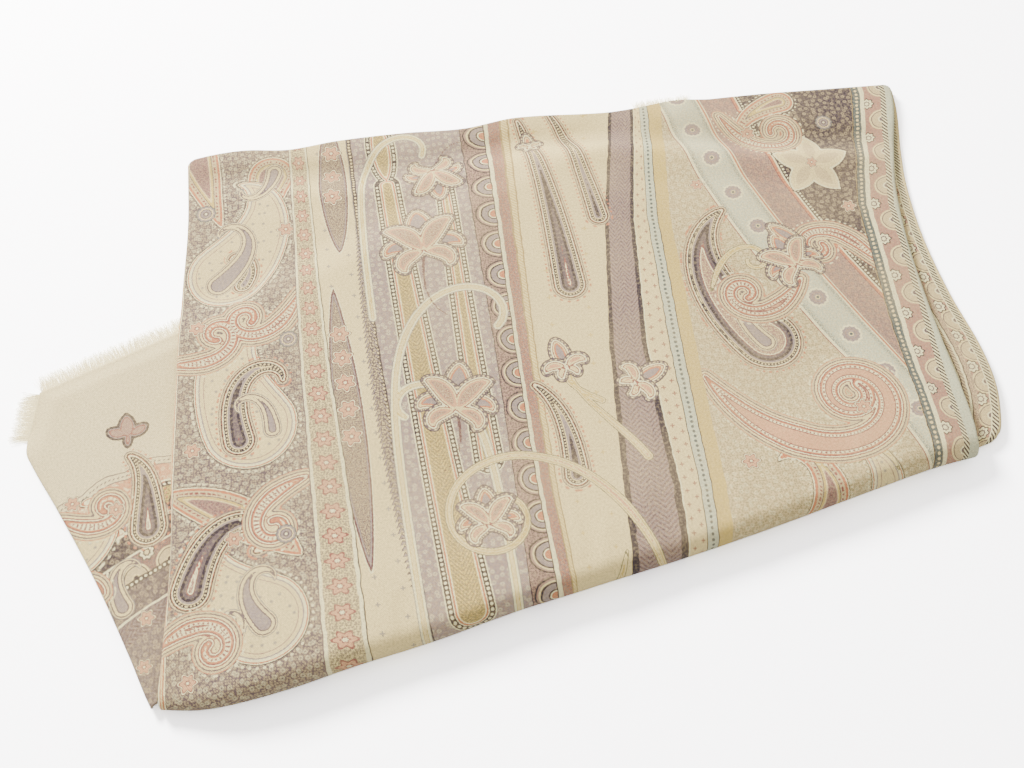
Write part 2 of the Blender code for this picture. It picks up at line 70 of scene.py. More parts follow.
edgeColumns = ("x", "back", "ridge", "front", "rise")
edgesAlongX = (
    (0.000, 0.3865, 0.3470, -0.0010, 0.0002),
    (0.020, 0.3905, 0.3470, -0.0034, 0.0005),
    (0.040, 0.3920, 0.3465, -0.0022, 0.0010),
    (0.070, 0.3897, 0.3460, 0.0032, 0.0018),
    (0.105, 0.3945, 0.3450, 0.0120, 0.0024),
    (0.150, 0.3970, 0.3460, 0.0220, 0.0022),
    (0.195, 0.3970, 0.3535, 0.0340, 0.0024),
    (0.233, 0.4035, 0.3605, 0.0425, 0.0028),
    (0.300, 0.4020, 0.3585, 0.0575, 0.0026),
    (0.350, 0.4060, 0.3515, 0.0700, 0.0027),
    (0.412, 0.4085, 0.3450, 0.0870, 0.0031),
    (0.455, 0.4085, 0.3415, 0.0985, 0.0029),
    (0.515, 0.4085, 0.3370, 0.1100, 0.0012),
)
rightColumns = ("y", "upper", "side")
rightAlongY = (
    (0.100, 0.4800, 0.4880),
    (0.118, 0.4850, 0.5030),
    (0.132, 0.4865, 0.5085),
    (0.155, 0.4870, 0.5125),
    (0.185, 0.4862, 0.5112),
    (0.226, 0.4850, 0.5035),
    (0.272, 0.4852, 0.4985),
    (0.316, 0.4895, 0.4990),
    (0.347, 0.4965, 0.5030),
    (0.385, 0.5065, 0.5100),
    (0.409, 0.5100, 0.5120),
)
flapColumns = ("run", "x", "y", "folded")
flapLeft = (
    (0.00, -0.0078, 0.0010, 1.0),
    (0.06, -0.0118, 0.0090, 1.0),
    (0.18, -0.0222, 0.0330, 1.0),
    (0.40, -0.0445, 0.0800, 1.0),
    (0.62, -0.0700, 0.1270, 1.0),
    (0.76, -0.0865, 0.1555, 1.0),
    (0.83, -0.0925, 0.1690, 0.6),
    (0.90, -0.0905, 0.1870, 0.0),
    (1.00, -0.0880, 0.2095, 0.0),
)
endFringeFoot = (-0.0925, 0.176)
flapFar = (0.0010, 0.2475)
lowerCorner = (0.358, 0.411)
lowerTurn = (0.486, 0.108)

# Soft ridges (height above 0) and troughs (below 0), pressed into the cloth while it was folded:
# x0, y0, x1, y1, half width, height.
creases = (
    (0.218, 0.386, 0.217, 0.216, 0.0130, -0.0009),
    (0.217, 0.216, 0.229, 0.046, 0.0130, -0.0011),
    (0.120, 0.300, 0.190, 0.120, 0.0200, -0.0009),
    (0.300, 0.310, 0.420, 0.180, 0.0240, -0.0010),
    (0.212, 0.390, 0.211, 0.230, 0.0035, 0.0005),
    (0.222, 0.230, 0.236, 0.060, 0.0030, 0.0005),
    (0.330, 0.395, 0.345, 0.365, 0.0060, -0.0008),
    (0.372, 0.400, 0.384, 0.362, 0.0055, 0.0007),
    (0.126, 0.388, 0.133, 0.352, 0.0060, -0.0007),
    (0.262, 0.398, 0.250, 0.368, 0.0060, 0.0006),
    (0.040, 0.330, 0.150, 0.322, 0.0060, 0.0004),
    (0.300, 0.333, 0.455, 0.322, 0.0070, -0.0005),
    (0.020, 0.040, 0.060, 0.140, 0.0120, -0.0007),
    (0.360, 0.110, 0.420, 0.180, 0.0130, 0.0007),
    (0.140, 0.060, 0.160, 0.130, 0.0090, 0.0005),
    (0.270, 0.080, 0.300, 0.190, 0.0110, 0.0006),
    (0.448, 0.330, 0.458, 0.160, 0.0070, -0.0005),
)
# Small puckers that the round front fold pushes up, square to it: x, lean, length, half width, height.
puckers = (
    (0.052, 0.10, 0.030, 0.0050, -0.0006),
    (0.095, -0.18, 0.038, 0.0055, 0.0006),
    (0.131, 0.05, 0.026, 0.0045, -0.0005),
    (0.176, -0.12, 0.040, 0.0060, 0.0006),
    (0.214, -0.04, 0.050, 0.0050, -0.0008),
    (0.247, 0.14, 0.030, 0.0050, 0.0005),
    (0.288, -0.10, 0.036, 0.0060, -0.0006),
    (0.330, 0.08, 0.032, 0.0050, 0.0006),
    (0.371, -0.16, 0.040, 0.0060, -0.0006),
    (0.409, 0.05, 0.030, 0.0045, 0.0005),
    (0.446, -0.06, 0.034, 0.0050, -0.0006),
)


def smooth(t):
    t = np.clip(t, 0.0, 1.0)
    return t * t * (3.0 - 2.0 * t)


def mix(a, b, t):
    return a + (b - a) * t


def curve(table, columns, key, name):  # a smooth curve through one named column of a table
    rows = np.array(table, dtype=float)
    keys, values = rows[:, 0], rows[:, columns.index(name)]
    slopes = np.gradient(values, keys, edge_order=1)
    slopes[1:-1] = (values[2:] - values[:-2]) / (keys[2:] - keys[:-2])
    k = np.searchsorted(keys[1:-1], key)
    run = keys[k + 1] - keys[k]
    t = np.clip((key - keys[k]) / run, 0.0, 1.0)
    return ((2 * t**3 - 3 * t**2 + 1) * values[k] + (t**3 - 2 * t**2 + t) * run * slopes[k]
            + (-2 * t**3 + 3 * t**2) * values[k + 1] + (t**3 - t**2) * run * slopes[k + 1])


def valueAt(line, place):  # one value of a curved line
    return float(line(np.array([place]))[0])


def sideOf(x, y, a, b):  # signed distance from the line a to b, positive on its right
    dx, dy = b[0] - a[0], b[1] - a[1]
    return ((x - a[0]) * dy - (y - a[1]) * dx) / math.hypot(dx, dy)


def backEdge(x):
    return curve(edgesAlongX, edgeColumns, x, "back")


def frontEdge(x):
    return curve(edgesAlongX, edgeColumns, x, "front")


def ridgeLine(x):
    return curve(edgesAlongX, edgeColumns, x, "ridge")


def rightEdge(y):
    return curve(rightAlongY, rightColumns, y, "upper")


def sideEdge(y):
    return curve(rightAlongY, rightColumns, y, "side")


def leftEdge(y):
    flare = fold["leftFlare"] * np.exp(-np.maximum(0.0, y) / fold["leftFlareReach"])
    return 0.0008 * np.sin(y / 0.041) - 0.0006 * np.sin(y / 0.019) - flare


def softLine(x, y, x0, y0, x1, y1, halfWidth):  # 1 along a soft line, down to 0 beside it and past its ends
    dx, dy = x1 - x0, y1 - y0
    length = math.hypot(dx, dy)
    run = ((x - x0) * dx + (y - y0) * dy) / length
    across = ((x - x0) * dy - (y - y0) * dx) / length
    fade = smooth((run + halfWidth) / (2 * halfWidth)) * smooth((length - run + halfWidth) / (2 * halfWidth))
    return fade * np.exp(-(across / halfWidth) ** 2)


def creaseHeight(x, y):
    fromRidge = y - ridgeLine(x)
    rise = curve(edgesAlongX, edgeColumns, x, "rise")
    total = rise * np.exp(-(fromRidge / fold["ridgeWidth"]) ** 2)
    dip = (fromRidge - 2.1 * fold["ridgeWidth"]) / fold["ridgeWidth"]
    total = total - fold["ridgeDip"] * np.exp(-dip ** 2)
    for x0, y0, x1, y1, halfWidth, height in creases:
        total = total + height * softLine(x, y, x0, y0, x1, y1, halfWidth)
    for x0, lean, length, halfWidth, height in puckers:
        y0 = valueAt(frontEdge, x0) + 0.004
        total = total + height * softLine(x, y, x0, y0, x0 + lean * length, y0 + length, halfWidth)
    return total


def topHeight(x, y):  # height of the upper stretch's outer face
    far = sideOf(x, y, flapLeft[-1][1:3], lowerCorner)
    right = sideOf(x, y, lowerCorner, lowerTurn)
    overLower = smooth((far + fold["drapeStart"]) / fold["drapeWidth"])
    overLower = overLower * smooth((right + fold["drapeStart"]) / fold["drapeWidth"])
    fromFront = y - frontEdge(x) - fold["frontRadius"]
    swell = fold["frontSwell"] * np.exp(-(fromFront / fold["frontReach"]) ** 2)
    swell = swell * smooth((x + 0.012) / fold["frontEase"])
    cornerDrop = fold["cornerDrop"] * np.exp(-(np.hypot(x, y) / fold["cornerReach"]) ** 2)
    edgeInset = np.minimum(np.minimum(x, backEdge(x) - y), rightEdge(y) - x)
    slack = fold["slack"] * np.sin(x / 0.031 + 0.6) * np.sin(y / 0.047 + 0.3)
    waves = (creaseHeight(x, y) + slack) * smooth(edgeInset / fold["edgeCalm"])
    return fold["upperStack"] + fold["lowerStack"] * overLower + swell - cornerDrop + waves


def outwardAngle(side, back, du, dv, inCorner):  # from square to the side (0) to square to the back
    lean = np.where(inCorner, np.arctan2(dv, du), np.where(side > 0, 0.0, math.pi / 2))
    share = np.where(side >= back, 0.5 * back / np.maximum(side, 1e-9),
                     1 - 0.5 * side / np.maximum(back, 1e-9))
    fan = math.pi / 8 + math.pi / 4 * share
    return np.where((side > 0) & (back > 0), fan, np.where(side > 0, lean / 2, math.pi / 4 + lean / 2))


def roundedCorner(u, v):  # whether a place is in the corner, and its shares once the corner is round
    inCorner = (u > 0) & (v > 0)
    u, v = np.clip(u, 0, 1), np.clip(v, 0, 1)
    return inCorner, u * np.sqrt(1 - v * v / 2), v * np.sqrt(1 - u * u / 2)


def upperSurface(across, along):
    # places and flat cloth coordinates: across and along run 0 to 1 on top, and on past the folded edges
    rim = fold["rim"]
    p, q = np.clip(across, 0, 1), np.clip(along, 0, 1)
    side, back = np.abs(across - p), np.maximum(0.0, -along)
    x, y = mix(0.0, 0.49, p), mix(0.39, 0.06, q)
    for _ in range(fold["passes"]):
        x = mix(leftEdge(y) + rim, rightEdge(y) - rim, p)
        ridge = ridgeLine(x)
        behind = mix(backEdge(x) - rim, ridge, q / fold["ridgeRow"])
        before = mix(ridge, frontEdge(x) + fold["frontRadius"],
                     (q - fold["ridgeRow"]) / (1 - fold["ridgeRow"]))
        y = np.where(q < fold["ridgeRow"], behind, before)
    turned = np.where(across < 0.5, -1.0, 1.0)
    sideCore = np.where(turned < 0, leftEdge(y) + rim, rightEdge(y) - rim)
    backCore = backEdge(x) - rim
    u = 1.0 - np.abs(x - sideCore) / fold["cornerRound"]
    v = 1.0 - (backCore - y) / fold["cornerRound"]
    inCorner, du, dv = roundedCorner(u, v)
    x = np.where(inCorner, sideCore + turned * fold["cornerRound"] * (du - 1), x)
    y = np.where(inCorner, backCore + fold["cornerRound"] * (dv - 1), y)
    z = topHeight(x, y)
    swing = fold["rimTurn"] * np.maximum(side, back)
    depth = rim - rim * np.cos(swing)
    angle = outwardAngle(side, back, du, dv, inCorner)
    rolled = along > 1.0
    angle = np.where(rolled, 0.0, angle)
    px = x + turned * rim * np.sin(swing) * np.cos(angle) * (swing > 0)
    py = y + rim * np.sin(swing) * np.sin(angle) * (swing > 0)
    half = z / 2
    turn = math.pi / 2 - math.pi * np.clip(along - 1.0, 0, 1)
    py = np.where(rolled, y - (fold["frontRadius"] - depth) * np.cos(turn), py)
    pz = np.where(rolled, half + (half - depth) * np.sin(turn), z - depth)
    under = np.maximum(0.0, along - 2.0)
    py = np.where(under > 0, y + fold["tuck"] * under, py)
    arc = math.pi * (fold["frontRadius"] + half) / 2 * np.clip(along - 1, 0, 1) + fold["tuck"] * under
    flatX = x + turned * rim * swing * np.cos(angle)
    flatY = y + rim * swing * np.sin(angle) * (along <= 1.0) - arc
    return np.stack([px, py, pz], axis=-1), np.stack([flatX, flatY], axis=-1)


def sideHeight(y):
    rim = fold["rim"]
    room = topHeight(rightEdge(y) - rim, y) - 2 * rim - fold["gap"]
    full = sideLook["full"]
    return np.where(room < full, room, full + 0.15 * (room - full))


# The next stretch of the same cloth, which shows along the right edge.
sideLook = {
    "hidden": 0.0030,       # how far it runs in under the upper stretch
    "lift": 0.0003,
    "full": 0.0056,         # the height past which it no longer rises with the upper stretch
    "frontAt": 0.1095,
    "frontSlope": 0.30,
    "backInset": 0.0030,
}


def sideSurface(across, along):
    p, q = np.minimum(1.0, across), np.minimum(1.0, along)
    x, y = np.full_like(p, 0.49), mix(0.400, 0.120, q)
    rim, turnRound = fold["rim"], fold["cornerRound"]
    foldEnd = valueAt(frontEdge, 0.485) + fold["frontRadius"] + fold["tuck"] + 0.001
    for _ in range(fold["passes"]):
        radius = (sideHeight(y) - sideLook["lift"]) / 2
        hidden = rightEdge(y) + mix(0.0005, -sideLook["hidden"], smooth((y - foldEnd) / 0.008))
        x = mix(hidden, sideEdge(y) - radius, p)
        front = sideLook["frontAt"] + sideLook["frontSlope"] * (x - 0.480)
        y = mix(backEdge(x) - sideLook["backInset"], front + radius, q)
    front = sideLook["frontAt"] + sideLook["frontSlope"] * (x - 0.480)
    u = 1.0 - (sideEdge(y) - radius - x) / turnRound
    v = 1.0 - (y - front - radius) / turnRound
    inCorner, du, dv = roundedCorner(u, v)
    x = np.where(inCorner, sideEdge(y) - radius + turnRound * (du - 1), x)
    y = np.where(inCorner, front + radius - turnRound * (dv - 1), y)
    swing = fold["rimTurn"] * np.maximum(across - p, along - q)
    z = sideHeight(y) - (radius - radius * np.cos(swing))
    angle = outwardAngle(across - p, along - q, du, dv, inCorner)
    px = x + radius * np.sin(swing) * np.cos(angle) * (swing > 0)
    py = y - radius * np.sin(swing) * np.sin(angle) * (swing > 0)
    flatX = x + radius * swing * np.cos(angle) * (swing > 0)
    flatY = y - radius * swing * np.sin(angle) * (swing > 0)
    return np.stack([px, py, z], axis=-1), np.stack([flatX - sideEdge(flatY), flatY], axis=-1)


# The lower half's corner, which lies out to the left, with a raw fringed edge on two sides.
flapLook = {
    "stack": 0.0050,
    "rise": 0.0040,
    "climb": 0.013,
    "swell": 0.0016,
    "edge": 0.0017,
    "droop": 0.014,
    "raw": 0.004,
    "rawFrom": 0.158,
    "rawTo": 0.186,
    "lowest": 0.0010,
}


def flapHeight(x, y):
    corner, foot = flapLeft[-1][1:3], flapLeft[-3][1:3]
    far = sideOf(x, y, corner, flapFar)
    end = sideOf(x, y, foot, corner)
    rawEnd = smooth((y - flapLook["rawFrom"]) / (flapLook["rawTo"] - flapLook["rawFrom"]))
    raw = np.minimum(smooth(far / flapLook["droop"]), mix(1.0, smooth(end / flapLook["droop"]), rawEnd))
    low = flapLook["edge"] + (flapLook["stack"] - flapLook["edge"]) * raw
    edge = leftEdge(y)
    rise = flapLook["rise"] * smooth((flapLook["rawTo"] - y) / 0.06) * smooth(far / 0.03)
    rise = rise + flapLook["swell"] * np.exp(-(y / fold["frontReach"]) ** 2)
    room = topHeight(edge + fold["rim"], y) - 2 * fold["rim"] - 2 * fold["gap"] - low
    waves = 0.0005 * np.sin(x / 0.017 + y / 0.05) * np.sin(y / 0.023) * smooth(far / 0.03) * smooth(-x / 0.02)
    return low + np.minimum(rise, room) * np.exp(np.minimum(0.0, x - edge) / flapLook["climb"]) + waves


def flapSurface(across, along):
    left = np.stack([curve(flapLeft, flapColumns, along, name) for name in ("x", "y")], axis=-1)
    y = mix(0.0030, flapFar[1], along)
    foldEnd = valueAt(frontEdge, 0.0) + fold["frontRadius"] + fold["tuck"] + 0.001
    right = np.stack([leftEdge(y) + mix(-0.0005, 0.0010, smooth((y - foldEnd) / 0.010)), y], axis=-1)
    width = np.linalg.norm(right - left, axis=-1)
    inward = (right - left) / width[..., None]
    edge = left + inward * 0.003
    radius = np.minimum((flapHeight(edge[..., 0], edge[..., 1]) - fold["gap"]) / 2, width / 2.6)
    folded = np.clip(curve(flapLeft, flapColumns, along, "folded"), 0, 1)
    core = left + inward * mix(flapLook["raw"], radius, folded)[..., None]
    spot = mix(core, right, np.maximum(0.0, across)[..., None])
    part = np.maximum(0.0, -across)
    swing = fold["rimTurn"] * np.maximum(0.02, folded)
    curl = mix(flapLook["raw"], radius * fold["rimTurn"], folded) / swing
    flat = spot - inward * (flapLook["raw"] * part)[..., None]
    height = mix(flapHeight(flat[..., 0], flat[..., 1]), flapHeight(spot[..., 0], spot[..., 1]), folded)
    place = spot - inward * (curl * np.sin(swing * part))[..., None]
    z = np.maximum(flapLook["lowest"], height - curl + curl * np.cos(swing * part))
    z = np.where(part > 0, z, flapHeight(spot[..., 0], spot[..., 1]))
    sheet = spot - inward * (curl * swing * part)[..., None]
    return np.concatenate([place, z[..., None]], axis=-1), sheet


def spread(*runs):  # stations from runs of (start, stop, count), without the shared ends twice
    stations = [runs[0][0]]
    for start, stop, count in runs:
        stations += [mix(start, stop, (k + 1) / count) for k in range(count)]
    return np.array(stations)


def placed(name, data):
    made = bpy.data.objects.new(name, data)
    bpy.context.collection.objects.link(made)
    return made


def shadeSoft(mesh):
    mesh.polygons.foreach_set("use_smooth", np.ones(len(mesh.polygons), dtype=bool))


def only(items, kind):
    return [item for item in items if isinstance(item, kind)]


def gridMesh(name, across, along, surface):
    # a grid of cloth, moved to its place by a function of its stations, with its flat places as a UV map
    bm = bmesh.new()
    bmesh.ops.create_grid(bm, x_segments=len(across) - 1, y_segments=len(along) - 1, size=0.5)
    bmesh.ops.reverse_faces(bm, faces=bm.faces)
    mesh = bpy.data.meshes.new(name)
    bm.to_mesh(mesh)
    bm.free()
    spots = np.arange(len(mesh.vertices))
    a, b = across[spots % len(across)], along[spots // len(across)]
    places, flat = surface(a, b)
    places = places - np.array([*fold["planCentre"], 0.0])
    mesh.vertices.foreach_set("co", places.ravel())
    layer = mesh.uv_layers.new(name="cloth")
    corners = np.empty(len(mesh.loops), dtype=np.int64)
    mesh.loops.foreach_get("vertex_index", corners)
    layer.uv.foreach_set("vector", flat[corners].ravel())
    shadeSoft(mesh)
    mesh.update()
    return placed(name, mesh), flat


def giveVector(mesh, name, values):
    layer = mesh.attributes.new(name, "FLOAT_VECTOR", "POINT")
    layer.data.foreach_set("vector", np.ascontiguousarray(values, dtype=np.float32).ravel())


def thicken(piece, thickness):
    wall = piece.modifiers.new("cloth wall", "SOLIDIFY")
    wall.thickness = thickness
    wall.offset = -1.0
    wall.use_even_offset = False


print("sizes read")


# Small helpers that wire shader nodes. A value is a number, a colour or another node's output.
class Wiring:
    def __init__(self, tree):
        self.tree = tree

    def node(self, kind, **settings):
        made = self.tree.nodes.new(kind)
        for name, value in settings.items():
            setattr(made, name, value)
        return made

    def feed(self, socket, value):
        if isinstance(value, bpy.types.NodeSocket):
            self.tree.links.new(value, socket)
        else:
            socket.default_value = value

    def calc(self, operation, a, b=0.0, c=0.0):
        made = self.node("ShaderNodeMath", operation=operation)
        for socket, value in zip(made.inputs, (a, b, c)):
            self.feed(socket, value)
        return made.outputs[0]

    def step(self, value, low, high):  # 0 below low, 1 above high, smooth between
        made = self.node("ShaderNodeMapRange", interpolation_type="SMOOTHSTEP", clamp=False)
        for socket, given in zip(made.inputs, (value, low, high, 0.0, 1.0)):
            self.feed(socket, given)
        return made.outputs[0]

    def band(self, value, low, high, soft=0.25):  # 1 between low and high
        rise = self.step(value, low - soft, low + soft)
        fall = self.step(value, high - soft, high + soft)
        return self.calc("SUBTRACT", rise, fall)

    def near(self, value, target, reach):  # 1 within reach of a value
        gap = self.calc("ABSOLUTE", self.calc("SUBTRACT", value, target))
        return self.calc("LESS_THAN", gap, reach)

    def both(self, *masks):
        total = masks[0]
        for mask in masks[1:]:
            total = self.calc("MULTIPLY", total, mask)
        return total

    def far(self, x, y):  # how far a place is from the middle
        return self.calc("SQRT", self.calc("ADD", self.calc("MULTIPLY", x, x), self.calc("MULTIPLY", y, y)))

    def noise(self, place, scale, detail=2.0, dimensions="2D"):
        made = self.node("ShaderNodeTexNoise", noise_dimensions=dimensions)
        self.feed(made.inputs["Vector"], place)
        made.inputs["Scale"].default_value = scale
        made.inputs["Detail"].default_value = detail
        return made.outputs[0]

    def scaled(self, vector, scale):
        made = self.node("ShaderNodeVectorMath", operation="SCALE")
        self.feed(made.inputs[0], vector)
        self.feed(made.inputs["Scale"], scale)
        return made.outputs[0]

    def blend(self, share, a, b):
        made = self.node("ShaderNodeMix", data_type="RGBA")
        self.feed(made.inputs["Factor"], share)
        self.feed(made.inputs[6], a)
        self.feed(made.inputs[7], b)
        return made.outputs[2]

    def ramp(self, value, low, high, stops):  # flat steps of colour; stops are (place, colour)
        share = self.calc("DIVIDE", self.calc("SUBTRACT", value, low), high - low)
        made = self.node("ShaderNodeValToRGB")
        made.color_ramp.interpolation = "CONSTANT"
        slots = made.color_ramp.elements
        while len(slots) > 1:
            slots.remove(slots[-1])
        for k, (place, colour) in enumerate(stops):
            spot = min(1.0, max(0.0, (place - low) / (high - low)))
            slot = slots[0] if k == 0 else slots.new(spot)
            slot.position, slot.color = spot, colour
        self.feed(made.inputs[0], share)
        return made.outputs[0]

    def split(self, vector):
        made = self.node("ShaderNodeSeparateXYZ")
        self.feed(made.inputs[0], vector)
        return made.outputs

    def join(self, x, y, z=0.0):
        made = self.node("ShaderNodeCombineXYZ")
        for socket, value in zip(made.inputs, (x, y, z)):
            self.feed(socket, value)
        return made.outputs[0]

    def attribute(self, name):
        return self.node("ShaderNodeAttribute", attribute_name=name)

    def group(self, tree, **values):
        made = self.node("ShaderNodeGroup", node_tree=tree)
        for name, value in values.items():
            self.feed(made.inputs[name], value)
        return made.outputs


def newGroup(name, inputs, outputs):
    tree = bpy.data.node_groups.new(name, "ShaderNodeTree")
    for label, kind, value in inputs:
        socket = tree.interface.new_socket(label, in_out="INPUT", socket_type="NodeSocket" + kind)
        if value is not None:
            socket.default_value = value
    for label, kind in outputs:
        tree.interface.new_socket(label, in_out="OUTPUT", socket_type="NodeSocket" + kind)
    wires = Wiring(tree)
    return tree, wires, wires.node("NodeGroupInput").outputs, wires.node("NodeGroupOutput").inputs


def ink(red, green, blue):  # a colour as it looks, 0 to 255, turned into the light that it reflects
    def light(value):
        value = value / 255
        return value / 12.92 if value <= 0.04045 else ((value + 0.055) / 1.055) ** 2.4
    return (light(red), light(green), light(blue), 1.0)


inks = {
    "pale": ink(238, 232, 178),
    "cream": ink(230, 211, 148),
    "sand": ink(208, 188, 137),
    "bare": ink(228, 214, 162),
    "ochre": ink(205, 181, 102),
    "deepOchre": ink(163, 140, 88),
    "salmon": ink(194, 124, 86),
    "pink": ink(210, 160, 118),
    "rose": ink(140, 84, 76),
    "tan": ink(165, 134, 115),
    "taupe": ink(103, 88, 89),
    "dark": ink(58, 49, 55),
    "lilac": ink(152, 137, 130),
    "grey": ink(134, 129, 122),
    "aqua": ink(196, 201, 168),
    "teal": ink(88, 97, 92),
    "olive": ink(117, 112, 76),
    "maroon": ink(100, 68, 70),
}


def makeWeave():  # fine twill: slanting ribs with soft breaks, as a height and a shade
    tree, w, given, put = newGroup("twill weave", [("Place", "Vector", None), ("Pitch", "Float", 0.75)],
                                   [("Height", "Float"), ("Shade", "Float")])
    x, y, _ = w.split(given["Place"])
    slant = w.calc("ADD", x, w.calc("MULTIPLY", y, 0.9))
    wander = w.noise(given["Place"], 0.35, 2.0)
    slant = w.calc("ADD", slant, w.calc("MULTIPLY", wander, 1.4))
    rib = w.calc("SINE", w.calc("MULTIPLY", w.calc("DIVIDE", slant, given["Pitch"]), 2 * math.pi))
    yarn = w.calc("SINE", w.calc("MULTIPLY", w.calc("DIVIDE", x, given["Pitch"]), 2 * math.pi * 1.9))
    fuzz = w.noise(given["Place"], 0.85, 3.0)
    height = w.calc("ADD", w.calc("MULTIPLY", rib, 0.5), w.calc("MULTIPLY", yarn, 0.22))
    height = w.calc("ADD", height, w.calc("MULTIPLY", fuzz, 1.3))
    w.feed(put["Height"], height)
    shade = w.calc("ADD", w.calc("MULTIPLY", rib, 0.15), w.calc("MULTIPLY", fuzz, 0.80))
    w.feed(put["Shade"], w.calc("ADD", shade, 0.60))
    return tree


def makeSpeck():  # tiny dabs of ink close together, as a mask
    tree, w, given, put = newGroup("speckle", [("Place", "Vector", None), ("Size", "Float", 1.8),
                                               ("Amount", "Float", 0.5)],
                                   [("Mask", "Float"), ("Fine", "Float")])
    place = w.scaled(given["Place"], w.calc("DIVIDE", 1.0, given["Size"]))
    cells = w.node("ShaderNodeTexVoronoi", voronoi_dimensions="2D", feature="F1")
    w.feed(cells.inputs["Vector"], place)
    cells.inputs["Scale"].default_value = 1.0
    cells.inputs["Randomness"].default_value = 0.75
    reach = w.calc("MULTIPLY", given["Amount"], 0.62)
    inside = w.calc("SUBTRACT", reach, cells.outputs["Distance"])
    w.feed(put["Mask"], w.step(inside, -0.07, 0.07))
    grain = w.noise(place, 1.3, 2.0)
    w.feed(put["Fine"], w.step(grain, 0.47, 0.56))
    return tree


weave = makeWeave()
speckle = makeSpeck()


def flower(w, x, y, radius, petals, depth):
    # how far out a place is, as a share of a flower's own outline
    angle = w.calc("ARCTAN2", y, x)
    wave = w.calc("MULTIPLY", w.calc("COSINE", w.calc("MULTIPLY", angle, petals)), depth)
    reach = w.calc("MULTIPLY", w.calc("ADD", wave, 1.0), radius)
    distance = w.far(x, y)
    return w.calc("DIVIDE", distance, reach)


def repeat(w, value, pitch, shift=0.0):  # a distance along a row, counted from the middle of each repeat
    turn = w.calc("FRACT", w.calc("DIVIDE", w.calc("ADD", value, shift), pitch))
    return w.calc("MULTIPLY", w.calc("SUBTRACT", turn, 0.5), pitch)


# The printed shapes: each is a stroke that starts at a place, runs on a curving line and has a width
# along it. A row is kind, form, x, y, heading, length, width, bend (turns it evenly) and curl (turns its
# tip), in millimetres and degrees.
forms = {
    "drop": lambda t: (1.0 - t ** 1.15) ** 0.8,
    "point": lambda t: np.sin(np.pi * np.clip(t, 0.001, 0.999) ** 0.8) ** 1.15,
    "leaf": lambda t: np.sin(np.pi * np.clip(t, 0.001, 0.999)) ** 0.75,
    "even": lambda t: np.ones_like(t),
    "club": lambda t: 1.0 - 0.45 * t,
    "scroll": lambda t: np.clip(t / 0.28, 0.02, 1) ** 0.7 * (1.0 - 0.62 * t),
    "wisp": lambda t: 1.0 - 0.75 * t,
}


def strokeLine(row):
    _, form, x, y, heading, length, width, bend, curl = row
    steps = 30 if abs(curl) < 200 else 64
    t = np.linspace(0, 1, steps + 1)
    way = np.radians(heading + bend * t + curl * t ** (6 if form == "even" else 3))
    way = (way[1:] + way[:-1]) / 2
    points = np.zeros((steps + 1, 2))
    points[0] = (x, y)
    points[1:, 0] = x + np.cumsum(np.cos(way)) * length / steps
    points[1:, 1] = y + np.cumsum(np.sin(way)) * length / steps
    return points, width * forms[form](t), length


def strokeFields(flat, rows):
    # for each place in millimetres: its distance outside the nearest shape, and how far along it is
    found = np.full((len(flat), 3), 0.0)
    found[:, 0] = 30.0
    for row in rows:
        points, widths, length = strokeLine(row)
        reach = widths.max() + 9.0
        low, high = points.min(axis=0) - reach, points.max(axis=0) + reach
        picked = np.nonzero(((flat > low) & (flat < high)).all(axis=1))[0]
        if not len(picked):
            continue
        here = flat[picked]
        best = np.full(len(picked), 30.0)
        run = np.zeros(len(picked))
        count = len(points) - 1
        for k in range(count):
            a, b = points[k], points[k + 1]
            way = b - a
            span = way @ way
            raw = ((here - a) @ way) / span
            t = np.clip(raw, 0, 1)
            gap = here - (a + t[:, None] * way)
            distance = np.hypot(gap[:, 0], gap[:, 1]) - mix(widths[k], widths[k + 1], t)
            closer = distance < best
            along = (k + t) / count * length
            if k == 0:
                lateral = np.abs(gap[:, 0] * way[1] - gap[:, 1] * way[0]) / math.sqrt(span)
                back = -((here - a) @ way) / math.sqrt(span)
                along = np.where(raw < 0, -widths[0] * np.arctan2(back, lateral + 1e-6), along)
            best = np.where(closer, distance, best)
            run = np.where(closer, along, run)
        nearer = best < found[picked, 0]
        spots = picked[nearer]
        found[spots, 0] = best[nearer]
        found[spots, 1] = run[nearer]
    return found


def stampFields(flat, rows, kinds, edges):
    # for each place: where it is from the middle of its stamp, in stamp sizes, and which stamp it is
    found = np.zeros((len(flat), 3))
    found[:, 0] = 9.0
    nearest = np.full(len(flat), 1e9)
    owner = np.full(len(flat), -1)
    for k, (kind, x, y, turn, size) in enumerate(rows):
        picked = np.nonzero((np.abs(flat[:, 0] - x) < 1.9 * size) & (np.abs(flat[:, 1] - y) < 1.9 * size))[0]
        dx, dy = flat[picked, 0] - x, flat[picked, 1] - y
        distance = np.hypot(dx, dy) / size
        nearer = distance < nearest[picked]
        spots = picked[nearer]
        c, s = math.cos(math.radians(turn)), math.sin(math.radians(turn))
        found[spots, 0] = (dx[nearer] * c + dy[nearer] * s) / size
        found[spots, 1] = (dy[nearer] * c - dx[nearer] * s) / size
        found[spots, 2] = kinds.index(kind) + 1
        nearest[spots] = distance[nearer]
        owner[spots] = k
    mixed = owner[edges[:, 0]] != owner[edges[:, 1]]
    found[np.unique(edges[mixed]), 2] = 0.0
    return found


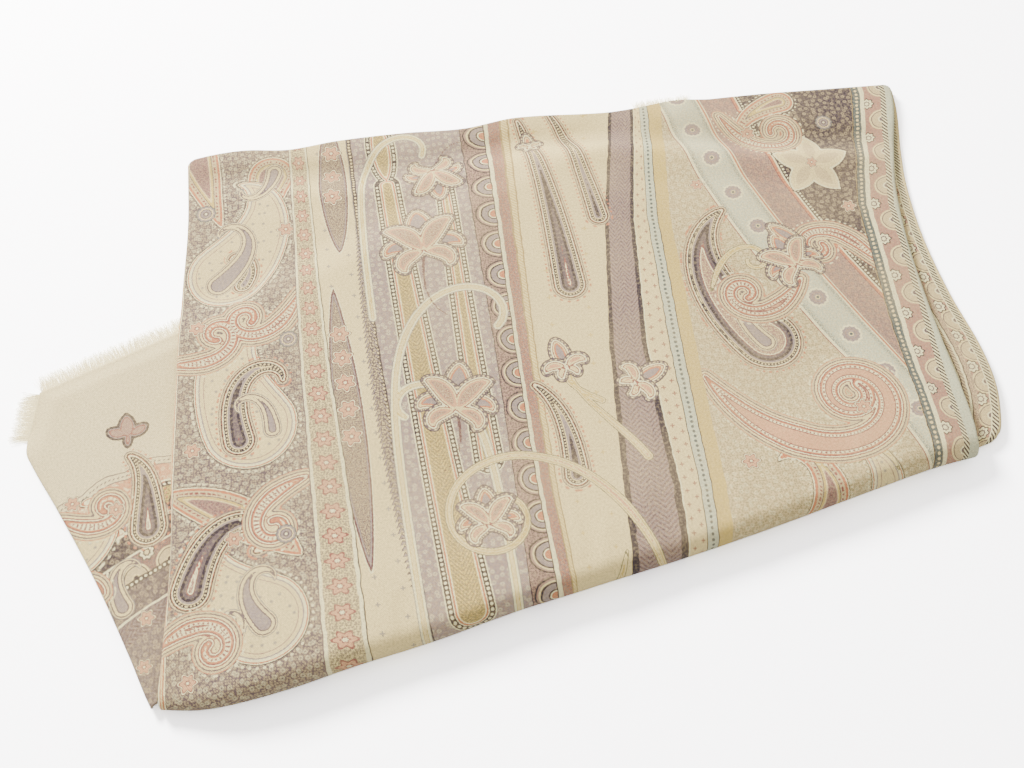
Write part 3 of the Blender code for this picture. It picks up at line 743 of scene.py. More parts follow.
# The sheets of cloth, and how finely each is divided.
clothLook = {
    "sideWall": 0.0008,
    "flapWall": 0.0009,
}
upperAcross = spread((-1, 0, 7), (0, 1, 315), (1, 2, 7))
upperAlong = spread((-1, 0, 7), (0, fold["ridgeRow"], 58), (fold["ridgeRow"], 1, 182), (1, 2, 18), (2, 3, 2))
sideAcross = spread((0, 1, 10), (1, 2, 12))
sideAlong = spread((0, 1, 170), (1, 2, 10))
flapAcross = spread((-1, 0, 8), (0, 1, 62))
flapAlong = spread((0, 1, 150))

upper, upperFlat = gridMesh("upperStretch", upperAcross, upperAlong, upperSurface)
side, sideFlat = gridMesh("sideStretch", sideAcross, sideAlong, sideSurface)
flap, flapFlat = gridMesh("cornerFlap", flapAcross, flapAlong, flapSurface)
flap.data.flip_normals()
thicken(side, clothLook["sideWall"])
thicken(flap, clothLook["flapWall"])
print("cloth laid")

# The hidden layers: one rounded solid under the upper stretch, whose left and back edges show as folds on
# top of each other, and the lower packet's own layers under the flap.
layersLook = {
    "lobes": 4,             # folds that show one above the other
    "clear": 0.0018,        # from the upper stretch's outer face down to the layers
    "crest": 0.0013,        # how far inside the upper stretch's edge a fold's crest lies
    "notch": 0.0023,        # how much further in the cloth is between two folds
    "uneven": 0.0008,
    "atFront": 0.0046,
    "sideGap": 0.0006,
    "tongueFrom": 0.08,
    "tongueTo": 0.905,
    "tongueEdge": 0.0009,
}


def layerProfile(side, part, x, y, top):  # how far a point of the solid's edge stands out, and its height
    rim, clear = fold["rim"], layersLook["clear"]
    if side == "front":
        swing = -math.pi / 2 + math.pi * max(0.0, part - 0.15) / 0.85
        reach = (fold["frontRadius"] - clear) * math.cos(swing)
        if part < 0.15:
            reach = mix(-fold["tuck"] - 0.004, reach, part / 0.15)
        return reach, max(clear * min(1.0, part / 0.1), top / 2 + (top / 2 - clear) * math.sin(swing))
    if side == "right":
        return rim - sideLook["hidden"] - layersLook["sideGap"], (top - clear) * part
    if part >= 1.0:
        return -0.0006, top - clear
    free = top - 2 * rim - fold["gap"]
    level = min(part / 0.94, 1.0) * layersLook["lobes"]
    within = level - min(math.floor(level), layersLook["lobes"] - 1)
    index = level - within
    crest = abs(math.sin(math.pi * within)) ** 0.55
    shift = 0.5 + 0.5 * math.sin(2.7 * index + 61.0 * x + 47.0 * y + 1.3 * math.sin(140.0 * (x + y) + index))
    inset = layersLook["crest"] + layersLook["uneven"] * shift + layersLook["notch"] * (1.0 - crest)
    before = float(smooth((0.050 - (y - valueAt(frontEdge, x))) / 0.014))
    return rim - mix(inset, layersLook["atFront"], before), free * level / layersLook["lobes"]


def layerGrid(across, along):  # an open grid, with its layer attribute and each point's stations
    bm = bmesh.new()
    bmesh.ops.create_grid(bm, x_segments=len(across) - 1, y_segments=len(along) - 1, size=0.5)
    bm.verts.ensure_lookup_table()
    level = bm.verts.layers.float_vector.new("layer")
    spots = np.arange(len(bm.verts))
    return bm, level, across[spots % len(across)], along[spots // len(across)]


def layersMesh(name):
    across, along = spread((0, 1, 110)), spread((0, fold["ridgeRow"], 24), (fold["ridgeRow"], 1, 66))
    bm, level, a, b = layerGrid(across, along)
    core = upperSurface(a, b)[0]
    place = {vert: (core[vert.index], a[vert.index], b[vert.index]) for vert in bm.verts}
    for vert, (spot, _, _) in place.items():
        vert.co = Vector(spot) - Vector((0, 0, layersLook["clear"]))
        vert[level] = (layersLook["lobes"], 0, 0)

    def settle(vert, part):
        (x, y, top), p, q = place[vert]
        sides = [side for side, here in (("left", p == 0), ("right", p == 1), ("back", q == 0),
                                         ("front", q == 1)) if here]
        outX = outY = 0.0
        heights = []
        for side in sides:
            reach, z = layerProfile(side, part, x, y, top)
            reach *= 0.7 if sides == ["left", "back"] else 1.0
            outX += {"left": -reach, "right": reach}.get(side, 0.0)
            outY += {"back": reach, "front": -reach}.get(side, 0.0)
            if side in ("front", "back") or "front" not in sides and sides[0] == side:
                heights.append(z)
        vert.co = Vector((x + outX, y + outY, sum(heights) / len(heights)))
        vert[level] = (min(part / 0.94, 1.0) * layersLook["lobes"], 0, 0)

    rings = [k / 24 * 0.94 for k in range(25)] + [1.0]
    edges = [edge for edge in bm.edges if edge.is_boundary]
    for edge in edges:
        for vert in edge.verts:
            settle(vert, rings[-1])
    for part in reversed(rings[:-1]):
        grown = bmesh.ops.extrude_edge_only(bm, edges=edges)["geom"]
        fresh = only(grown, bmesh.types.BMVert)
        place.update({vert: next(place[edge.other_vert(vert)] for edge in vert.link_edges
                                 if edge.other_vert(vert) in place) for vert in fresh})
        for vert in fresh:
            settle(vert, part)
        edges = [edge for edge in only(grown, bmesh.types.BMEdge) if edge.is_boundary]
    bmesh.ops.contextual_create(bm, geom=edges)
    return finishSolid(name, bm)


def finishSolid(name, bm):
    bmesh.ops.translate(bm, verts=bm.verts, vec=(-fold["planCentre"][0], -fold["planCentre"][1], 0.0))
    bmesh.ops.triangulate(bm, faces=[face for face in bm.faces if len(face.verts) > 4])
    bmesh.ops.recalc_face_normals(bm, faces=bm.faces)
    mesh = bpy.data.meshes.new(name)
    bm.to_mesh(mesh)
    bm.free()
    shadeSoft(mesh)
    return placed(name, mesh)


def tongueMesh(name):  # the lower packet's layers under the flap
    across, along = spread((0, 1, 24)), spread((0, 1, 60))
    bm, level, a, b = layerGrid(across, along)
    run = mix(layersLook["tongueFrom"], layersLook["tongueTo"], b)
    left = flapSurface(np.zeros_like(run), run)[0][:, :2]
    right = flapSurface(np.ones_like(run), run)[0][:, :2]
    inward = (right - left) / np.linalg.norm(right - left, axis=1)[:, None]
    left = left + inward * layersLook["tongueEdge"]
    right = np.stack([leftEdge(right[:, 1]) - 0.0004, right[:, 1]], axis=-1)
    spot = mix(left, right, a[:, None])
    height = flapHeight(np.minimum(spot[:, 0], 0.0), spot[:, 1]) - layersLook["clear"]
    for vert, (x, y), z in zip(bm.verts, spot, height):
        vert.co = (x, y, max(z, 0.0004))
        vert[level] = (2.0, 0, 0)
    edges = [edge for edge in bm.edges if edge.is_boundary]
    grown = bmesh.ops.extrude_edge_only(bm, edges=edges)["geom"]
    for vert in only(grown, bmesh.types.BMVert):
        vert.co.z = 0.0
        vert[level] = (0.0, 0, 0)
    lower = [edge for edge in only(grown, bmesh.types.BMEdge) if edge.is_boundary]
    bmesh.ops.contextual_create(bm, geom=lower)
    return finishSolid(name, bm)


hiddenLayers = layersMesh("hiddenLayers")
cornerLayers = tongueMesh("cornerLayers")
print("hidden layers made")

# Fringe: short soft yarn ends, several to each tuft, lying on the surface.
fringeLook = {
    "length": 0.0130,
    "radius": 0.00012,
    "tuft": 0.0014,
    "floor": 0.0002,
    "inset": 0.0012,        # how far in under the edge the yarns start
    "sag": 0.0006,
    "steps": 7,
    "sides": 3,
    "layers": 3,
    "lean": (0.10, 0.14, 0.13),       # with the tuft, in wider waves, and by chance
    "gather": (-0.2, 0.9),            # how far a yarn is drawn to its tuft's middle
    "shortest": 0.5,
    "wave": (0.0001, 0.00045),
    "thickness": (0.75, 1.15),
    "lift": (0.25, 1.0),
    "height": 0.0012,
    "taper": 0.55,
}
plan = np.array([*fold["planCentre"], 0.0])
corner = np.array(flapLeft[-1][1:3])
run = (np.array(flapFar) - corner) / np.linalg.norm(np.array(flapFar) - corner)
outward = np.array((-run[1], run[0]))
down = np.array(endFringeFoot) - corner
down = down / np.linalg.norm(down)
sideways = np.array((down[1], -down[0]))


def yarnCopies(name, count):  # one yarn, a thin tube along Z with a unit to each step, and its copies
    bm = bmesh.new()
    bmesh.ops.create_circle(bm, cap_ends=True, segments=fringeLook["sides"], radius=1.0)
    ends = list(bm.faces)
    for step in range(fringeLook["steps"]):
        grown = bmesh.ops.extrude_face_region(bm, geom=ends)["geom"]
        if step > 0:  # the face left inside the tube
            bmesh.ops.delete(bm, geom=ends, context="FACES_ONLY")
        ends = only(grown, bmesh.types.BMFace)
        bmesh.ops.translate(bm, verts=only(grown, bmesh.types.BMVert), vec=(0, 0, 1))
    mesh = bpy.data.meshes.new(name)
    bm.to_mesh(mesh)
    bm.free()
    made = placed(name, mesh)
    copies = made.modifiers.new("copies", "ARRAY")
    copies.count = count
    copies.use_relative_offset = False
    shown = made.evaluated_get(bpy.context.evaluated_depsgraph_get())
    made.data = bpy.data.meshes.new_from_object(shown)
    made.data.name = name
    made.modifiers.clear()
    return made


def makeFringe(name, start, stop, outward, count, seed, top):
    # yarns as thin three-sided tapering tubes; neighbours lean together into loose tufts
    chance = random.Random(seed)
    layers, (leanTuft, leanWide, leanChance) = fringeLook["layers"], fringeLook["lean"]
    start, stop, outward = np.array(start), np.array(stop), np.array(outward) / np.linalg.norm(outward)
    reach = np.linalg.norm(stop - start)
    along = (stop - start) / reach
    made = yarnCopies(name, layers * count)
    mesh = made.data
    model = np.empty(len(mesh.vertices) * 3)
    mesh.vertices.foreach_get("co", model)
    model = model.reshape(layers * count, -1, 3)
    t, turn = model[0, :, 2] / fringeLook["steps"], np.arctan2(model[0, :, 1], model[0, :, 0])
    places, shades = np.empty_like(model), np.zeros_like(model)
    for k in range(layers * count):
        layer = k // count
        spot = (k % count + chance.uniform(0.1, 0.9)) / count
        tuft = round(spot * reach / fringeLook["tuft"])
        lean = leanTuft * math.sin(tuft * 2.1 + layer) + leanWide * math.sin(spot * reach / 0.0047 + layer)
        lean += chance.gauss(0.0, leanChance)
        gather = (tuft * fringeLook["tuft"] - spot * reach) * chance.uniform(*fringeLook["gather"])
        length = fringeLook["length"] * (1.0 - fringeLook["shortest"] * chance.random() ** 1.6)
        length *= 0.92 - 0.08 * math.sin(tuft * 1.7)
        wave, phase = chance.uniform(*fringeLook["wave"]), chance.uniform(0, 6.28)
        radius = fringeLook["radius"] * chance.uniform(*fringeLook["thickness"])
        lift = fringeLook["height"] * chance.uniform(*fringeLook["lift"])
        out = t * (length + fringeLook["inset"]) - fringeLook["inset"]
        slide = spot * reach + lean * length * t * t + gather * smooth(t) + wave * np.sin(4.5 * t + phase) * t
        rise = mix(top, fringeLook["floor"] + lift, smooth(1.6 * t))
        rise = np.maximum(rise + fringeLook["sag"] * 0.5 * np.sin(3.1 * t + phase) * t, radius + 0.0001)
        thin = radius * (1.0 - fringeLook["taper"] * t)
        flatSpot = start + along * (slide + thin * np.cos(turn + phase))[:, None] + outward * out[:, None]
        high = (rise + thin * np.sin(turn + phase))[:, None]
        places[k] = np.concatenate([flatSpot - plan[:2], high], axis=1)
        shades[k, :, 0], shades[k, :, 1] = chance.uniform(0, 1), t
    mesh.vertices.foreach_set("co", places.ravel())
    mesh.update()
    bm = bmesh.new()
    bm.from_mesh(mesh)
    bmesh.ops.recalc_face_normals(bm, faces=bm.faces)
    bm.to_mesh(mesh)
    bm.free()
    shadeSoft(mesh)
    giveVector(mesh, "yarn", shades.reshape(-1, 3))
    return made


backEnds = [(x, valueAt(backEdge, x)) for x in (0.321, 0.361)]
farFringe = makeFringe("farFringe", corner + run * 0.001, flapFar, outward, 420, 11, 0.0011)
endFringe = makeFringe("endFringe", corner + down * 0.001, endFringeFoot, sideways, 160, 12, 0.0011)
backFringe = makeFringe("backFringe", backEnds[0], backEnds[1], (-0.05, 1.0), 160, 13, 0.0016)
print("fringe made")

# Where the printed stripes run: a stripe's place in millimetres, then where its line lies at 400, 300,
# 200, 100 and 0 mm from the front. The cloth was pulled a little out of square as it was folded.
bandLines = (
    (-60, -60, -60, -60, -60, -60),
    (0, 0, 0, 0, 0, 0),
    (78, 70, 74, 78, 84, 90),
    (96, 82, 88, 96, 107, 115),
    (134, 119, 125, 134, 144, 158),
    (168, 143, 156, 168, 180, 190),
    (200, 191, 195, 200, 203, 206),
    (219, 216, 217, 218.5, 222, 230),
    (273, 300, 283, 272, 266, 262),
    (297, 318, 303, 296, 300, 297),
    (310, 322, 312, 310, 311, 307),
    (318, 328, 319, 318, 318, 314),
    (457, 479, 459, 457, 454, 452),
    (485, 507, 487, 485, 480, 478),
    (560, 582, 562, 560, 555, 553),
)


def bandPlace(flat):  # the stripe coordinate of each flat place, in millimetres
    rows = np.array(bandLines, dtype=float)
    x, y = flat[:, 0], np.clip(flat[:, 1], 0, 400)
    k = np.minimum((y // 100).astype(int), 3)
    t = (y / 100 - k)[:, None]
    lines = rows[:, 5 - k].T * (1 - t) + rows[:, 4 - k].T * t
    lines = np.sort(lines, axis=1)
    slot = np.clip((lines <= x[:, None]).sum(axis=1) - 1, 0, len(rows) - 2)
    spot = np.arange(len(x))
    share = (x - lines[spot, slot]) / (lines[spot, slot + 1] - lines[spot, slot])
    return rows[slot, 0] + share * (rows[slot + 1, 0] - rows[slot, 0])


# Stripes, each from its own edge to the next one's: edge and ink of a plain one, or else edge, pattern,
# its repeat in millimetres, ground and two inks.
upperStripes = (
    (-60.0, "florets", 7, "taupe", "sand", "pale"),
    (77.4, "taupe"),
    (78.0, "pale"),
    (79.6, "blossoms", 16, "cream", "rose", "taupe"),
    (94.0, "pale"),
    (95.6, "dark"),
    (96.2, "crosses", 17, "cream", "grey", "cream"),
    (124.6, "grey"),
    (125.2, "beads", 2.6, "dark", "cream", "cream"),
    (128.4, "florets", 0, "lilac", "tan", "pale"),
    (200.0, "dark"),
    (200.6, "scallop", 25, "tan", "dark", "salmon"),
    (213.0, "dark"),
    (213.6, "pale"),
    (215.8, "speck", 0, "tan", "salmon", "taupe"),
    (221.6, "deepOchre"),
    (222.6, "dashes", 2.4, "cream", "ochre", "cream"),
    (225.4, "deepOchre"),
    (226.2, "crosses", 21, "cream", "ochre", "cream"),
    (273.0, "dark"),
    (275.8, "zigzag", 3.4, "taupe", "lilac", "tan"),
    (293.6, "dark"),
    (296.6, "pale"),
    (297.4, "crosses", 9, "cream", "rose", "cream"),
    (309.6, "dark"),
    (310.2, "beads", 3.4, "aqua", "teal", "teal"),
    (317.4, "dark"),
    (318.0, "ochre"),
    (326.0, "ochre"),
    (456.4, "dark"),
    (457.0, "beads", 3.4, "teal", "cream", "cream"),
    (462.4, "pale"),
    (465.4, "moons", 30, "tan", "taupe", "pale"),
    (477.4, "dashes", 3.0, "dark", "pale", "cream"),
    (481.4, "aqua"),
)

# The right field has its own stripes, which run aslant: x of their middle line at each y.
slopeColumns = ("y", "x")
slopeLine = (
    (60, 476), (110, 463), (160, 444), (210, 420), (260, 396), (310, 376), (355, 362), (400, 352), (440, 345),
)
slopeField = (326.4, 456.2)
overStripes = ((77.4, 96.2), (317.4, 326.4), (456.4, 520.0))  # stripes that no shape runs over
slopeStripes = (
    (-200.0, "florets", 9.0, "sand", "olive", "pale"),
    (-16.5, "rose"),
    (-15.8, "pale"),
    (-14.0, "rosettes", 33, "aqua", "lilac", "teal"),
    (12.0, "pale"),
    (13.2, "salmon"),
    (14.6, "pale"),
    (15.4, "florets", 8.0, "tan", "taupe", "pink"),
    (38.0, "rose"),
    (38.7, "salmon"),
    (40.6, "pale"),
    (41.8, "beads", 2.8, "dark", "pale", "cream"),
    (45.2, "florets", 7.0, "dark", "taupe", "sand"),
)
flapStripes = (
    (-60.0, "bare"),
    (90.0, "taupe"),
    (90.6, "bare"),
    (92.6, "dashes", 2.6, "bare", "taupe", "cream"),
    (93.6, "bare"),
    (95.4, "taupe"),
    (96.0, "florets", 7.0, "pink", "salmon", "pale"),
    (108.0, "pale"),
    (109.4, "beads", 3.0, "dark", "pale", "cream"),
    (113.0, "scallop", 22, "ochre", "dark", "salmon"),
    (128.0, "pale"),
    (129.6, "florets", 8.0, "dark", "taupe", "sand"),
    (142.0, "pale"),
    (143.4, "moons", 22, "taupe", "dark", "cream"),
    (157.0, "beads", 3.0, "dark", "pale", "cream"),
    (160.6, "florets", 7.0, "taupe", "dark", "sand"),
    (176.0, "pale"),
    (177.4, "zigzag", 3.4, "taupe", "lilac", "maroon"),
    (190.0, "florets", 8.0, "taupe", "lilac", "sand"),
)
sideStripes = (
    (-60.0, "florets", 7.0, "taupe", "cream", "rose"),
    (-25.0, "pale"),
    (-23.4, "dark"),
    (-22.6, "dashes", 2.6, "sand", "taupe", "cream"),
    (-20.2, "pale"),
    (-18.8, "dark"),
    (-18.0, "speck", 0, "tan", "taupe", "cream"),
    (-14.8, "moons", 24, "tan", "taupe", "pale"),
    (-7.2, "pale"),
    (-6.4, "dashes", 2.8, "dark", "pale", "cream"),
    (-2.4, "cream"),
    (3.2, "beads", 2.6, "dark", "pale", "cream"),
    (6.4, "florets", 7.0, "tan", "taupe", "cream"),
)

# Rings of colour in each kind of shape, from its heart outwards: how far out a ring starts, its ink.
rings = {
    "moon": ((-40, "cream"), (-5.2, "tan"), (-4.7, "cream"), (-2.6, "lilac"), (-1.8, "pale"),
             (-0.2, "salmon"), (0.5, "pale"), (1.1, "dark")),
    "arch": ((-40, "tan"), (-7.5, "cream"), (-6.8, "ochre"), (-5.6, "taupe"), (-5.0, "sand"),
             (-2.0, "salmon"), (-0.4, "pale"), (0.4, "dark")),
    "spear": ((-40, "ochre"), (-2.6, "pale"), (-1.9, "salmon"), (-0.8, "pale"), (-0.2, "dark"),
              (3.3, "pale")),
    "saw": ((-40, "taupe"), (-1.2, "lilac"), (-0.6, "dark")),
    "band": ((-40, "pale"), (-1.9, "salmon"), (-1.1, "cream"), (-0.2, "salmon"), (0.5, "pale"),
             (1.2, "taupe")),
    "drop": ((-40, "tan"), (-8.4, "pale"), (-7.8, "rose"), (-7.2, "taupe"), (-5.2, "dark"),
             (-3.4, "lilac"), (-2.2, "cream"), (-1.6, "dark"), (0.3, "pale"), (1.0, "salmon"), (1.5, "dark"),
             (2.1, "sand"), (3.1, "taupe")),
    "wisp": ((-40, "lilac"), (-3.2, "taupe"), (-2.6, "cream"), (-1.0, "taupe"), (-0.2, "cream"),
             (0.4, "grey")),
    "curl": ((-40, "pink"), (-3.8, "rose"), (-3.1, "pale"), (-1.5, "salmon"), (-0.5, "rose"), (0.1, "pale"),
             (0.9, "rose"), (1.6, "cream"), (2.9, "taupe"), (3.5, "sand"), (4.6, "salmon")),
    "petal": ((-40, "tan"), (-3.4, "pink"), (-2.2, "cream"), (-1.2, "rose"), (-0.7, "pale"), (0.1, "taupe"),
              (1.9, "dark")),
    "vine": ((-40, "pink"), (-1.9, "cream"), (-0.9, "ochre"), (-0.4, "cream"), (0.4, "olive")),
    "bract": ((-40, "sand"), (-4.6, "cream"), (-1.0, "pale"), (0.2, "dark")),
    "hoop": ((-40, "cream"), (-1.6, "ochre"), (-1.2, "pale"), (0.0, "grey")),
    "tendril": ((-40, "maroon"),),
    "spindle": ((-40, "taupe"), (-1.6, "lilac"), (-1.0, "maroon"), (0.2, "pale")),
    "petalBack": ((-40, "lilac"), (-3.0, "salmon"), (-2.0, "cream"), (-1.2, "rose"), (-0.7, "pale"),
                  (0.1, "taupe"), (1.9, "dark")),
    "bud": ((-40, "tan"), (-2.0, "rose"), (-1.3, "lilac"), (-0.7, "dark")),
}
ringTeeth = {"saw": (3.8, 2.2)}          # saw-toothed outlines: their pitch and depth
# How far outside its line a shape's paint ends.
ringEnd = {"bract": 0.9, "bud": 0.9, "spindle": 0.9, "moon": 1.7, "arch": 0.9, "spear": 4.1, "saw": 0.0,
           "petalBack": 2.4, "band": 1.8, "drop": 3.6, "wisp": 0.9, "curl": 5.2, "petal": 2.4, "vine": 0.9,
           "hoop": 0.5, "tendril": 0.0}
# Beads that follow a shape's outline: how far out, their pitch, radius and ink.
ringBeads = {"spear": (1.6, 2.9, 0.95, "pale"), "drop": (-0.7, 2.2, 0.55, "cream"),
             "arch": (-3.6, 3.0, 0.75, "rose"), "petal": (1.05, 1.9, 0.45, "cream"),
             "petalBack": (1.05, 1.9, 0.45, "cream"),
             "curl": (-2.2, 2.5, 0.6, "rose")}
# A row of dots outside a shape, as above.
ringHalos = {"moon": (3.3, 3.6, 0.85, "pale"), "drop": (4.9, 3.3, 0.75, "salmon"),
             "arch": (2.3, 3.0, 0.6, "pale"), "curl": (6.4, 3.0, 0.6, "pale")}
# What fills a shape's heart: pattern, the distance it starts at, and its two inks.
ringHearts = {"moon": ("sprigs", -6.0, "grey", "grey"), "arch": ("speck", -8.0, "taupe", "rose"),
              "spindle": ("speck", -1.8, "maroon", "cream"), "petal": ("speck", -3.6, "rose", "cream"),
              "spear": ("vein", -2.8, "deepOchre", "olive"), "saw": ("speck", -1.2, "cream", "dark"),
              "drop": ("speck", -8.6, "cream", "rose")}

strokes = (
    # left field
    ("band", "even", -6, 366, 323, 112, 2.4, -4, 0),
    ("band", "even", -4, 118, 300, 60, 2.0, 30, 0),
    ("arch", "drop", 6, 386, 284, 66, 15, 6, 0),
    ("arch", "drop", 58, 366, 262, 66, 16, -12, -30),
    ("wisp", "drop", 60, 370, 260, 44, 5.5, -20, -190),
    ("moon", "drop", 30, 284, 48, 92, 26, 34, 90),
    ("wisp", "drop", 24, 276, 44, 74, 8.0, 30, 210),
    ("drop", "drop", 40, 274, 60, 34, 4.0, 50, 120),
    ("curl", "scroll", 78, 262, 250, 92, 5.0, -60, -330),
    ("moon", "drop", 46, 166, 118, 98, 28, -32, -120),
    ("drop", "drop", 40, 156, 104, 78, 7.5, -30, -170),
    ("wisp", "drop", 60, 162, 96, 46, 5.0, 34, 200),
    ("arch", "leaf", -6, 124, -14, 96, 13, -30, 0),
    ("curl", "scroll", -6, 214, 350, 86, 4.6, 60, 320),
    ("curl", "scroll", 80, 128, 200, 80, 4.6, 40, 330),
    ("drop", "drop", 14, 62, 78, 84, 9.5, -34, -210),
    ("moon", "drop", 54, 42, 150, 76, 26, -40, -70),
    ("wisp", "drop", 56, 38, 132, 52, 7.0, -50, -190),
    ("wisp", "drop", 40, 30, 60, 26, 3.6, 60, 160),
    ("curl", "scroll", -4, 30, 40, 76, 5.0, -70, -300),
    # middle field: a saw-toothed leaf, long spears and hoops
    ("saw", "leaf", 140, 40, 97, 290, 4.6, -4, 0),
    ("spear", "club", 171, 34, 97, 316, 10.0, -2, 0),
    ("spear", "club", 189, 128, 94, 230, 5.6, -2, 0),
    ("spear", "leaf", 138, 352, 96, 60, 7, 0, 0),
    ("hoop", "even", 148, -10, 96, 336, 2.6, -4, -230),
    ("hoop", "even", 198, 20, 92, 216, 2.5, 6, 230),
    ("hoop", "even", 124, 236, 94, 196, 2.3, -4, -210),
    # ochre field
    ("drop", "drop", 253, 250, 93, 150, 8.5, 5, 8),
    ("drop", "drop", 279, 304, 97, 104, 4.6, 6, 12),
    ("drop", "drop", 240, 112, 88, 70, 5.6, 20, 30),
    ("vine", "scroll", 292, 4, 97, 330, 3.0, 62, 400),
    ("vine", "scroll", 262, 60, 250, 120, 2.4, 60, 330),
    ("vine", "wisp", 284, 120, 118, 92, 2.2, 40, -90),
    ("vine", "wisp", 262, 162, 150, 48, 1.6, -30, -60),
    # right field
    ("drop", "drop", 372, 196, 132, 118, 20, -50, -50),
    ("wisp", "drop", 371, 194, 128, 62, 6.5, -50, -90),
    ("curl", "scroll", 328, 172, 298, 250, 10.5, 90, 470),
    ("curl", "scroll", 404, 240, 236, 96, 5.6, -70, -330),
    ("curl", "scroll", 462, 250, 118, 96, 5.0, 40, 330),
    ("curl", "scroll", 378, 388, 296, 96, 4.2, 50, 300),
    ("arch", "drop", 424, 398, 196, 54, 10, 30, 60),
    ("vine", "scroll", 344, 236, 70, 84, 1.8, -30, -330),
    ("vine", "scroll", 430, 96, 110, 60, 1.6, 60, 300),
    ("petalBack", "leaf", 412, 268, 142, 26, 5.5, 0, 0),
    ("arch", "drop", 384, 66, 74, 66, 13, 40, 120),
    ("moon", "drop", 424, 84, 96, 44, 10, 30, 60),
)


def iris(x, y, turn, size):  # a flower seen from the side: two curling falls, three standards, two leaves
    back = ((90, 1.05, 0.25, 0, 0), (38, 0.86, 0.17, -36, -90), (142, 0.86, 0.17, 36, 90))
    front = ((66, 0.98, 0.20, -16, -50), (116, 0.98, 0.20, 16, 50), (0, 0.72, 0.15, -40, -120),
             (182, 0.72, 0.15, 40, 120))
    return tuple((kind, "leaf", x, y, turn + lean, size * reach, size * width, bend, curl)
                 for kind, shapes in (("petalBack", back), ("petal", front))
                 for lean, reach, width, bend, curl in shapes)


def fleur(x, y, turn, size):  # a pointed petal between two that curl back, and two small ones below
    shapes = ((90, 1.25, 0.30, 0, 0), (38, 0.95, 0.20, -30, -110), (142, 0.95, 0.20, 30, 110),
              (-20, 0.60, 0.15, -40, -90), (200, 0.60, 0.15, 40, 90))
    return tuple(("petalBack" if lean == 90 else "petal", "leaf", x, y, turn + lean, size * reach,
                  size * width, bend, curl) for lean, reach, width, bend, curl in shapes)


fleurs = fleur(243, 188, 14, 17) + fleur(284, 172, -62, 18) + fleur(240, 374, 8, 10)
bracts = tuple(("bract", "point", 434, 338, 12 + 72 * k, 28, 8.4, 10, 0) for k in range(5))
irises = sum((iris(*spot) for spot in ((404, 250, 24, 27), (160, 286, 6, 36), (172, 164, -8, 32),
                                       (170, 360, 190, 26), (186, 84, 4, 24))), ())
stems = (
    ("tendril", "wisp", 160, 286, 262, 60, 1.1, 20, 60),
    ("tendril", "wisp", 172, 164, 280, 50, 1.1, -30, -60),
    ("tendril", "wisp", 170, 360, 70, 34, 0.9, -16, -60),
)

# Stamps, single small figures: kind, x, y, turn, radius.
stampKinds = ("blossom", "rosette")
upperStamps = (
    ("blossom", 434, 338, 10, 5.0), ("rosette", 14, 336, 0, 8.5), ("blossom", 68, 318, 0, 7.0),
    ("rosette", 70, 226, 0, 7.5), ("blossom", 12, 240, 20, 7.0), ("blossom", 12, 152, 10, 6.5),
    ("rosette", 68, 92, 0, 7.5), ("blossom", 38, 92, 0, 6.5), ("blossom", 14, 10, 0, 6.5),
    ("blossom", 452, 300, 0, 6.0), ("blossom", 396, 372, 30, 6.5), ("rosette", 452, 376, 0, 7.5),
    ("blossom", 344, 110, 0, 6.5), ("blossom", 420, 140, 30, 6.5), ("blossom", 350, 324, 0, 6.0),
)
flapStrokes = (
    ("bud", "point", -30, 170, 96, 17, 5.2, 0, 0), ("bud", "leaf", -31, 172, 176, 12, 4.0, -30, 0),
    ("bud", "leaf", -29, 172, 16, 12, 4.0, 30, 0), ("bud", "leaf", -30, 173, 274, 10, 2.6, 0, 0),
    ("drop", "drop", -14, 108, 96, 52, 9, -10, 60),
    ("moon", "drop", -52, 96, 40, 46, 12, 60, 120),
    ("wisp", "drop", -26, 60, 120, 40, 6, -40, -160),
    ("curl", "wisp", -44, 60, 200, 44, 3.6, -280, 0),
    ("curl", "scroll", -66, 118, 330, 64, 4.4, 60, 320),
)
flapStamps = (
    ("blossom", -60, 128, 0, 6.0), ("blossom", -34, 122, 30, 6.0),
    ("blossom", -12, 52, 0, 6.0), ("rosette", -30, 36, 0, 6.5), ("blossom", -12, 24, 0, 5.5),
)
# Spindles of dark ground with a row of blossoms in each, beside the flower stripe.
spindles = (
    ("spindle", "leaf", 98, 412, 272, 120, 9.5, 2, 0),
    ("spindle", "leaf", 99, 262, 274, 200, 9.0, 2, 0),
)
upperStamps += tuple(("blossom", 100 + 0.07 * max(0, 262 - y), y, 20 * k, 8.0)
                     for k, y in enumerate((382, 362, 342, 226, 208, 190, 171, 152)))


def dots(w, across, run, pitch, radius):  # a row of dots as a mask
    along = repeat(w, run, pitch)
    reach = w.far(across, along)
    return w.step(reach, radius + 0.2, radius - 0.2)


